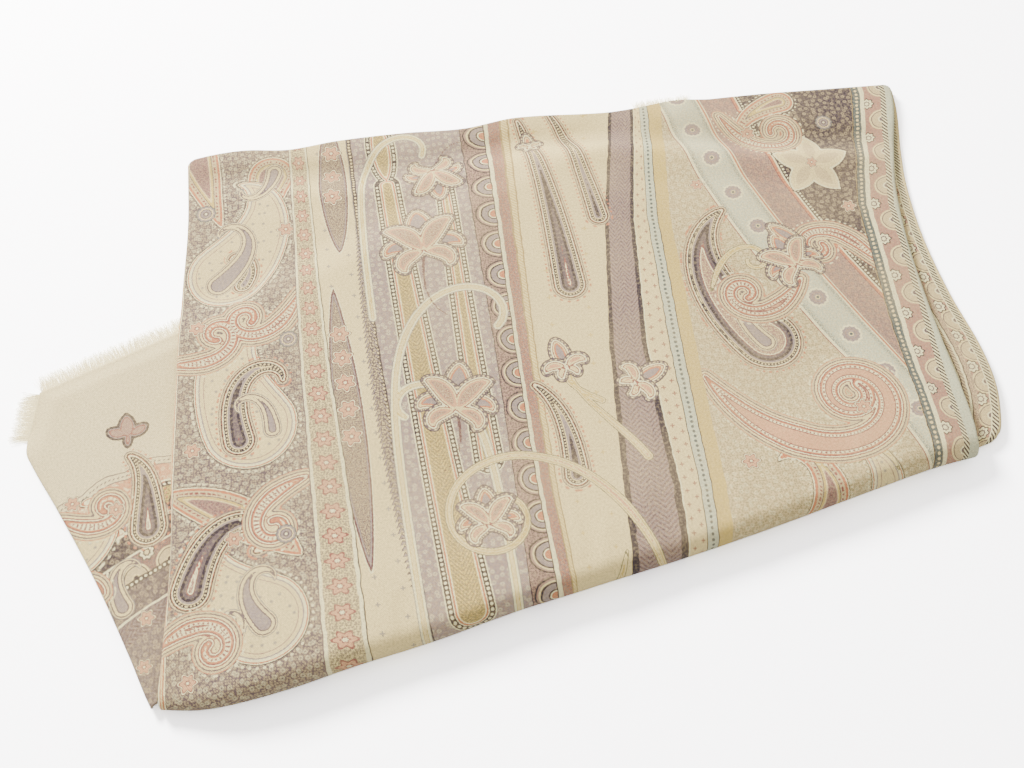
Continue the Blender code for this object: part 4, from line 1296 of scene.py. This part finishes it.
def shapeKind(w, colour, name, specks):  # paints one kind of shape over a colour
    field = w.attribute(name)
    distance, run, _ = w.split(field.outputs["Vector"])
    distance = w.calc("ADD", distance, specks["wobble"])
    if name in ringHalos:
        out, pitch, radius, tone = ringHalos[name]
        halo = dots(w, w.calc("SUBTRACT", distance, out), run, pitch, radius)
        colour = w.blend(w.both(halo, 0.9), colour, inks[tone])
    if name in ringTeeth:
        pitch, depth = ringTeeth[name]
        tooth = w.calc("FRACT", w.calc("DIVIDE", run, pitch))
        distance = w.calc("ADD", distance, w.calc("MULTIPLY", tooth, depth))
    stops = [(start, inks[tone]) for start, tone in rings[name]]
    paint = w.ramp(distance, -40.0, 6.0, stops)
    if name in ringHearts:
        kind, start, first, second = ringHearts[name]
        if kind == "sprigs":
            fill = w.blend(w.both(specks["sprig"], 0.8), inks["cream"], inks[first])
        elif kind == "vein":
            slant = w.calc("ADD", run, w.calc("MULTIPLY", distance, -1.4))
            vein = w.calc("LESS_THAN", w.calc("FRACT", w.calc("DIVIDE", slant, 3.0)), 0.42)
            fill = w.blend(vein, inks["ochre"], inks[first])
            fill = w.blend(w.both(specks["coarse"], 0.55), fill, inks[second])
        else:
            fill = w.blend(w.both(specks["coarse"], 0.75), stops[0][1], inks[first])
            fill = w.blend(w.both(specks["fine"], 0.55), fill, inks[second])
        paint = w.blend(w.step(distance, start + 0.15, start - 0.15), paint, fill)
    if name in ringBeads:
        out, pitch, radius, tone = ringBeads[name]
        paint = w.blend(dots(w, w.calc("SUBTRACT", distance, out), run, pitch, radius), paint, inks[tone])
    inside = w.step(distance, ringEnd[name] + 0.12, ringEnd[name] - 0.12)
    return w.blend(inside, colour, paint)


def stripeColour(w, row, nextEdge, b, run, specks):
    if len(row) == 2:  # a plain stripe or line
        return inks[row[1]]
    edge, pattern, pitch, ground, first, second = row
    ground, first, second = inks[ground], inks[first], inks[second]
    width = nextEdge - edge
    if pattern == "speck":
        fill = w.blend(w.both(specks["coarse"], 0.75), ground, first)
        return w.blend(w.both(specks["fine"], 0.6), fill, second)
    if pattern == "florets":
        fill = w.blend(w.both(specks["coarse"], 0.6), ground, first)
        fill = w.blend(w.both(specks["fine"], 0.5), fill, ground)
        return w.blend(w.both(specks["floret"], 0.42), fill, second)
    offset = w.calc("SUBTRACT", b, edge)
    middle = w.calc("SUBTRACT", offset, width / 2)
    if pattern == "dashes":
        slant = w.calc("ADD", run, w.calc("MULTIPLY", offset, 1.1))
        lines = w.calc("LESS_THAN", w.calc("FRACT", w.calc("DIVIDE", slant, pitch)), 0.45)
        return w.blend(lines, ground, first)
    if pattern == "zigzag":
        slant = w.calc("ADD", run, w.calc("MULTIPLY", w.calc("PINGPONG", offset, width / 4), 1.3))
        lines = w.calc("LESS_THAN", w.calc("FRACT", w.calc("DIVIDE", slant, pitch)), 0.5)
        fill = w.blend(w.both(lines, 0.8), ground, first)
        return w.blend(w.both(specks["fine"], 0.7), fill, second)
    along = repeat(w, run, pitch)
    if pattern == "crosses":
        other = repeat(w, run, pitch, pitch / 2)
        total = 0.0
        for place, shift in ((0.25, along), (0.75, other)):
            lx = w.calc("ABSOLUTE", w.calc("SUBTRACT", offset, width * place))
            ly = w.calc("ABSOLUTE", shift)
            wide, narrow = w.calc("MAXIMUM", lx, ly), w.calc("MINIMUM", lx, ly)
            mark = w.both(w.step(wide, 1.7, 1.3), w.step(narrow, 0.55, 0.25))
            total = w.calc("MAXIMUM", total, mark)
        return w.blend(w.both(total, 0.85), ground, first)
    if pattern == "beads":
        return w.blend(dots(w, middle, run, pitch, 0.30 * pitch), ground, first)
    if pattern == "blossoms":
        fill = w.blend(w.both(specks["coarse"], 0.7), ground, second)
        fill = w.blend(w.both(specks["fine"], 0.5), fill, inks["olive"])
        share = flower(w, middle, along, 4.6, 6, 0.22)
        bloom = w.ramp(share, 0.0, 2.0, ((0.0, inks["pale"]), (0.25, first), (0.40, inks["pink"]),
                                         (0.85, first)))
        return w.blend(w.step(share, 1.12, 1.02), fill, bloom)
    if pattern == "scallop":
        fill = w.blend(w.both(specks["coarse"], 0.6), ground, first)
        inset = w.calc("SUBTRACT", width, offset)
        reach = w.far(inset, along)
        arc = w.ramp(reach, 0.0, 16.0, ((0.0, second), (3.0, inks["pale"]), (3.8, first),
                                        (4.6, inks["lilac"]), (7.6, first), (8.6, inks["cream"]),
                                        (9.6, inks["tan"]), (10.6, first)))
        return w.blend(w.step(reach, 11.8, 11.4), fill, arc)
    if pattern == "rosettes":
        fill = w.blend(w.both(specks["coarse"], 0.4), ground, inks["cream"])
        rim = w.both(w.step(w.calc("ABSOLUTE", middle), width / 2 - 4.5, width / 2 - 1.0), specks["fine"])
        fill = w.blend(w.both(rim, 0.8), fill, second)
        share = flower(w, middle, along, 6.2, 12, 0.05)
        bloom = w.ramp(share, 0.0, 2.0, ((0.0, second), (0.16, inks["cream"]), (0.26, first),
                                         (0.52, inks["tan"]), (0.60, first), (0.90, inks["pale"])))
        return w.blend(w.step(share, 1.2, 1.1), fill, bloom)
    # moons: half-moons on the right edge and rosettes on the left, by turns
    fill = w.blend(w.both(specks["fine"], 0.5), ground, inks["salmon"])
    right = w.calc("SUBTRACT", offset, width)
    reach = w.far(right, along)
    moon = w.ramp(reach, 0.0, 12.0, ((0.0, first), (1.6, second), (2.6, inks["sand"]), (6.8, first),
                                     (7.5, inks["cream"])))
    fill = w.blend(w.step(reach, 9.0, 8.6), fill, moon)
    share = flower(w, w.calc("SUBTRACT", offset, 2.0), repeat(w, run, pitch, pitch / 2), 4.6, 8, 0.12)
    bloom = w.ramp(share, 0.0, 2.0, ((0.0, second), (0.3, first), (0.5, inks["pale"]), (0.85, inks["dark"])))
    return w.blend(w.step(share, 1.1, 1.0), fill, bloom)


def stampColour(w, colour, name):
    field = w.attribute(name)
    lx, ly, kind = w.split(field.outputs["Vector"])
    looks = {
        "blossom": (6, 0.20, ((0.0, "pale"), (0.16, "rose"), (0.30, "pink"), (0.72, "rose"), (0.84, "pale"),
                              (0.95, "maroon"))),
        "rosette": (12, 0.04, ((0.0, "pale"), (0.14, "taupe"), (0.30, "lilac"), (0.52, "taupe"),
                               (0.62, "cream"), (0.74, "lilac"), (0.92, "teal"))),
    }
    for k, label in enumerate(stampKinds):
        petals, depth, tones = looks[label]
        share = flower(w, lx, ly, 0.78, petals, depth)
        paint = w.ramp(share, 0.0, 2.0, [(start, inks[tone]) for start, tone in tones])
        mask = w.both(w.near(kind, k + 1.0, 0.04), w.step(share, 1.06, 1.0))
        colour = w.blend(mask, colour, paint)
    return colour


def layStripes(w, stripes, b, run, specks):
    colour = None
    for k, row in enumerate(stripes):
        nextEdge = stripes[k + 1][0] if k + 1 < len(stripes) else row[0] + 6.0
        paint = stripeColour(w, row, nextEdge, b, run, specks)
        colour = paint if colour is None else w.blend(w.step(b, row[0] - 0.12, row[0] + 0.12), colour, paint)
    return colour


# The twill, the wear of the print and the strength of the painted shade; pitch in millimetres of cloth, bump
# in metres.
twillLook = {
    "pitch": 1.15,
    "bumpStrength": 0.6,
    "bumpDepth": 0.00016,
    # how strongly the painted shade and painted light change the colour
    "paintedShadeStrength": 0.11,
    "fadeWide": 0.16,
    "fadeFine": 0.24,
    "wander": 1.4,
    "wobble": 0.7,
    "gloss": {"Roughness": 0.86, "Specular IOR Level": 0.25, "Sheen Weight": 0.12, "Sheen Roughness": 0.45},
}


def layTwill(w, shader, colour, place, paintedShadeFactor=None):  # shades a colour with the weave and, when one is given, with a painted shade, and gives it relief
    twill = w.group(weave, Place=place, Pitch=twillLook["pitch"])
    shade = twill["Shade"] if paintedShadeFactor is None else w.calc("MULTIPLY", twill["Shade"], paintedShadeFactor)
    w.feed(shader.inputs["Base Color"], w.scaled(colour, shade))
    bump = w.node("ShaderNodeBump")
    bump.inputs["Strength"].default_value = twillLook["bumpStrength"]
    bump.inputs["Distance"].default_value = twillLook["bumpDepth"]
    w.feed(bump.inputs["Height"], twill["Height"])
    w.feed(shader.inputs["Normal"], bump.outputs[0])


def printedCloth(name, stripes, slope, kinds, stamps, over=()):
    made = bpy.data.materials.new(name)
    made.use_nodes = True
    tree = made.node_tree
    w = Wiring(tree)
    shader = tree.nodes["Principled BSDF"]
    place = w.scaled(w.node("ShaderNodeUVMap", uv_map="cloth").outputs[0], 1000.0)
    coarse = w.group(speckle, Place=place, Size=1.5, Amount=0.62)
    fine = w.group(speckle, Place=place, Size=0.95, Amount=0.55)
    sprig = w.group(speckle, Place=place, Size=7.5, Amount=0.20)
    floret = w.group(speckle, Place=place, Size=4.6, Amount=0.46)
    inner = w.group(speckle, Place=place, Size=4.6, Amount=0.16)
    ring = w.calc("SUBTRACT", floret["Mask"], inner["Mask"])
    specks = {"coarse": coarse["Mask"], "fine": fine["Fine"], "sprig": sprig["Mask"], "floret": ring}
    wander = w.noise(place, 0.12, 2.0)
    # the band attribute's third value is painted shade and painted light, not a mark of the cloth
    b, run, paintedShade = w.split(w.attribute("band").outputs["Vector"])
    b = w.calc("ADD", b, w.calc("MULTIPLY", w.calc("SUBTRACT", wander, 0.5), twillLook["wander"]))
    rough = w.noise(place, 0.9, 1.0)
    specks["wobble"] = w.calc("MULTIPLY", w.calc("SUBTRACT", rough, 0.5), twillLook["wobble"])
    colour = layStripes(w, stripes, b, run, specks)
    if slope:
        across, down, _ = w.split(w.attribute("slope").outputs["Vector"])
        field = w.band(b, slopeField[0], slopeField[1], 0.12)
        colour = w.blend(field, colour, layStripes(w, slope, across, down, specks))
    under = colour
    for kind in kinds:
        colour = shapeKind(w, colour, kind, specks)
    if stamps:
        colour = stampColour(w, colour, "stamp")
    for start, stop in over:
        colour = w.blend(w.band(b, start, stop, 0.12), colour, under)
    fade = w.noise(place, 0.014, 3.0)
    worn = w.noise(place, 0.55, 4.0)
    share = w.calc("MULTIPLY", w.step(fade, 0.3, 0.7), twillLook["fadeWide"])
    share = w.calc("ADD", share, w.calc("MULTIPLY", w.step(worn, 0.42, 0.74), twillLook["fadeFine"]))
    colour = w.blend(share, colour, inks["sand"])
    # painted shade and painted light: the colour darkened in creases and beside other pieces, lightened on
    # ridges
    paintedShadeFactor = w.calc("ADD", w.calc("MULTIPLY", paintedShade, twillLook["paintedShadeStrength"]), 1.0)
    layTwill(w, shader, colour, place, paintedShadeFactor)
    for label, value in twillLook["gloss"].items():
        shader.inputs[label].default_value = value
    return made


# The kinds of shape from the lowest to the one that lies on all the others.
kindOrder = ("arch", "moon", "band", "bract", "bud", "spindle", "saw", "spear", "hoop", "drop", "wisp",
             "vine", "curl", "tendril", "petalBack", "petal")


def printFields(piece, flat, band, rows, stamps, paintedShade=0.0):  # what the print's material reads on a piece, with the painted shade that darkens or lightens its colour
    mesh = piece.data
    places = flat * 1000
    # the third value is the painted shade
    giveVector(mesh, "band", np.stack([*band, np.zeros(len(places)) + paintedShade], axis=-1))
    for kind in kindOrder:
        mine = [row for row in rows if row[0] == kind]
        if mine:
            giveVector(mesh, kind, strokeFields(places, mine))
    if stamps:
        edges = np.empty(2 * len(mesh.edges), dtype=np.int64)
        mesh.edges.foreach_get("vertices", edges)
        giveVector(mesh, "stamp", stampFields(places, stamps, stampKinds, edges.reshape(-1, 2)))
    return tuple(kind for kind in kindOrder if any(row[0] == kind for row in rows))


def slopePlace(flat):  # how far right of the slanting line each place is, square to it, and how far down it
    line = curve(slopeLine, slopeColumns, flat[:, 1], "x")
    ahead = curve(slopeLine, slopeColumns, flat[:, 1] + 2.0, "x")
    lean = (ahead - line) / 2.0
    square = np.sqrt(1 + lean ** 2)
    return (flat[:, 0] - line) / square, 1.1 * (flat[:, 1] + (flat[:, 0] - line) * lean / square ** 2)


upperPlaces = upperFlat * 1000
# painted shade in the troughs of the creases and painted light on their ridges, taken from the crease heights
upperPaintedShade = creaseHeight(upperFlat[:, 0], np.clip(upperFlat[:, 1], 0.02, 0.385))
upperPaintedShade = np.clip(upperPaintedShade / 0.0016, -1.0, 1.0)
upperKinds = printFields(upper, upperFlat, (bandPlace(upperPlaces), upperPlaces[:, 1]),
                         strokes + irises + fleurs + bracts + stems + spindles, upperStamps, upperPaintedShade)
giveVector(upper.data, "slope", np.stack([*slopePlace(upperPlaces), np.zeros(len(upperPlaces))], axis=-1))

flapPlaces = flapFlat * 1000
farLine = [1000 * np.array(flapLeft[-1][1:3]), 1000 * np.array(flapFar)]
flapAway = sideOf(flapPlaces[:, 0], flapPlaces[:, 1], *farLine)
flapRun = (flapPlaces - farLine[0]) @ (farLine[1] - farLine[0]) / np.linalg.norm(farLine[1] - farLine[0])
lobes = 3.0 * np.abs(np.sin(flapRun / 9.0)) * smooth((flapAway - 36) / 12) * smooth((130 - flapAway) / 30)
drift = 9.0 * np.sin(flapRun / 34.0 + 0.8) * smooth((flapAway - 30) / 20)
flapPaintedShade = -1.6 * np.exp(np.minimum(0.0, flapPlaces[:, 0]) / 4.0)   # painted shade beside the upper stretch's left edge
flapKinds = printFields(flap, flapFlat, (flapAway + lobes + drift, flapRun), flapStrokes, flapStamps,
                        flapPaintedShade)

sidePlaces = sideFlat * 1000
sideAway = sidePlaces[:, 0] - 1000 * (rightEdge(sideFlat[:, 1]) - sideEdge(sideFlat[:, 1]))
# painted shade on the side stretch under and near the upper stretch's right edge
sidePaintedShade = -1.6 * np.exp(-np.maximum(0.0, sideAway) / 2.5)
sideKinds = printFields(side, sideFlat, (sidePlaces[:, 0], sidePlaces[:, 1]), (), (), sidePaintedShade)
print("print laid out")


def plainCloth(name, colour):
    made = bpy.data.materials.new(name)
    made.use_nodes = True
    shader = made.node_tree.nodes["Principled BSDF"]
    shader.inputs["Base Color"].default_value = colour
    shader.inputs["Roughness"].default_value = 0.9
    shader.inputs["Specular IOR Level"].default_value = 0.25
    return made


def layeredCloth():  # the folded edges of the hidden layers: stripes of print, and painted shade between the folds
    made = plainCloth("layeredCloth", inks["sand"])
    tree = made.node_tree
    w = Wiring(tree)
    shader = tree.nodes["Principled BSDF"]
    x, y, z = w.split(w.node("ShaderNodeTexCoord").outputs["Object"])
    level, _, _ = w.split(w.attribute("layer").outputs["Vector"])
    layer = w.calc("FLOOR", level)
    part = w.calc("ABSOLUTE", w.calc("SUBTRACT", w.calc("SUBTRACT", level, layer), 0.5))
    patches = w.noise(w.join(x, y, w.calc("MULTIPLY", layer, 0.037)), 58.0, 2.0, "3D")
    tone = w.ramp(patches, 0.0, 1.0, (
        (0.0, inks["taupe"]), (0.36, inks["tan"]), (0.44, inks["cream"]), (0.50, inks["sand"]),
        (0.55, inks["pink"]), (0.58, inks["cream"]), (0.64, inks["sand"]), (0.70, inks["lilac"])))
    # painted shade: the colour darkened towards the dark ink in the notch between two folds
    gap = w.step(part, 0.30, 0.49)
    tone = w.blend(w.both(gap, 0.7), tone, inks["dark"])
    place = w.join(w.calc("MULTIPLY", w.calc("ADD", x, z), 1000.0),
                   w.calc("MULTIPLY", w.calc("SUBTRACT", y, z), 1000.0))
    layTwill(w, shader, tone, place)
    return made


def yarnCloth(name, root, tip):
    made = plainCloth(name, tip)
    w = Wiring(made.node_tree)
    shade, along, _ = w.split(w.attribute("yarn").outputs["Vector"])
    tone = w.blend(along, root, tip)
    tone = w.blend(w.both(shade, 0.25), tone, inks["sand"])
    shader = made.node_tree.nodes["Principled BSDF"]
    w.feed(shader.inputs["Base Color"], tone)
    w.feed(shader.inputs["Emission Color"], tone)  # painted glow, standing in for light that comes through the thin yarns
    shader.inputs["Emission Strength"].default_value = 1.1
    return made


upper.data.materials.append(
    printedCloth("upperPrint", upperStripes, slopeStripes, upperKinds, upperStamps, overStripes))
side.data.materials.append(printedCloth("sidePrint", sideStripes, (), sideKinds, ()))
flap.data.materials.append(printedCloth("flapPrint", flapStripes, (), flapKinds, flapStamps))
yarnMaterial = yarnCloth("yarn", ink(230, 218, 170), ink(244, 236, 200))
for piece in (farFringe, endFringe, backFringe):
    piece.data.materials.append(yarnMaterial)
layeredMaterial = layeredCloth()
for piece in (hiddenLayers, cornerLayers):
    piece.data.materials.append(layeredMaterial)
print("materials made")

for piece, node in ((upper, "upper_stretch"), (side, "side_stretch"), (flap, "corner_flap"),
                    (hiddenLayers, "inner_layers"), (cornerLayers, "inner_layers"),
                    (farFringe, "far_fringe"), (endFringe, "end_fringe"), (backFringe, "back_fringe")):
    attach(piece, "root")
    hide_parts(node)


def cutOf(flat, columns):  # width, length and area of a piece's cloth laid flat, in metres
    size = flat.max(axis=0) - flat.min(axis=0)
    grid = flat.reshape(-1, columns, 2)
    first, second = grid[1:, 1:] - grid[:-1, :-1], grid[1:, :-1] - grid[:-1, 1:]
    area = float(np.abs(first[..., 0] * second[..., 1] - first[..., 1] * second[..., 0]).sum() / 2)
    print("cut", [round(float(value), 4) for value in size], round(area, 5))
    return (float(size[0]), float(size[1])), min(area, float(size[0] * size[1]))


for piece, flat, columns, edging in ((upper, upperFlat, len(upperAcross), ()),
                                     (side, sideFlat, len(sideAcross), ()),
                                     (flap, flapFlat, len(flapAcross), (farFringe, endFringe, backFringe))):
    size, area = cutOf(flat, columns)

# Floor, light and camera.
studio = {
    "skyPower": 1.06,
    "keyPower": 108.0,
    "keyPlace": (-0.95, 1.35, 1.15),
    "keySize": 0.7,
    "warm": (1.0, 0.93, 0.855),
    "floorHalf": 40.0,
    "floorLevel": -0.0002,
    "floorCast": (0.46, 0.49, 0.54, 1.0),
    "floorSeen": (3.3, 3.45, 3.75, 1.0),
}
floorMesh = bpy.data.meshes.new("floor")
floorGrid = bmesh.new()
bmesh.ops.create_grid(floorGrid, x_segments=1, y_segments=1, size=studio["floorHalf"])
bmesh.ops.translate(floorGrid, verts=floorGrid.verts, vec=(0, 0, studio["floorLevel"]))
floorGrid.to_mesh(floorMesh)
floorGrid.free()
floor = placed("floor", floorMesh)
floorMaterial = bpy.data.materials.new("floor")
floorMaterial.use_nodes = True
floorWires = Wiring(floorMaterial.node_tree)
floorMaterial.node_tree.nodes.remove(floorMaterial.node_tree.nodes["Principled BSDF"])
matte = floorWires.node("ShaderNodeBsdfDiffuse")  # brighter to the camera than to the cloth, as in high key
seen = floorWires.node("ShaderNodeLightPath").outputs["Is Camera Ray"]
floorWires.feed(matte.inputs["Color"], floorWires.blend(seen, studio["floorCast"], studio["floorSeen"]))
floorWires.feed(floorMaterial.node_tree.nodes["Material Output"].inputs["Surface"], matte.outputs[0])
floorMesh.materials.append(floorMaterial)


def areaLight(name, place, target, size, power, colour):
    data = bpy.data.lights.new(name, "AREA")
    data.shape = "DISK"
    data.size = size
    data.energy = power
    data.color = colour
    lamp = placed(name, data)
    lamp.location = place
    lamp.rotation_euler = (Vector(target) - Vector(place)).to_track_quat("-Z", "Y").to_euler()


areaLight("key", studio["keyPlace"], (0, 0, 0), studio["keySize"], studio["keyPower"], studio["warm"])
world = bpy.data.worlds.new("studio")
world.use_nodes = True
world.node_tree.nodes["Background"].inputs["Color"].default_value = (*studio["warm"], 1.0)
world.node_tree.nodes["Background"].inputs["Strength"].default_value = studio["skyPower"]
bpy.context.scene.world = world

# The camera: its places are on the same plan as the fold's, and its reach is in pixels of the picture.
shot = {
    "eye": (0.1708, -0.1915, 0.659),
    "target": (0.2087, 0.1871, 0.0),
    "reach": 1200,
    "pictureWidth": 1024,
    "sensor": 36,
}
lens = bpy.data.cameras.new("camera")
lens.lens = shot["reach"] / shot["pictureWidth"] * shot["sensor"]
lens.sensor_width = shot["sensor"]
camera = placed("camera", lens)
eye = Vector((shot["eye"][0] - fold["planCentre"][0], shot["eye"][1] - fold["planCentre"][1], shot["eye"][2]))
target = Vector((shot["target"][0] - fold["planCentre"][0], shot["target"][1] - fold["planCentre"][1],
                 shot["target"][2]))
camera.location = eye
camera.rotation_euler = (target - eye).to_track_quat("-Z", "Y").to_euler()
bpy.context.scene.camera = camera
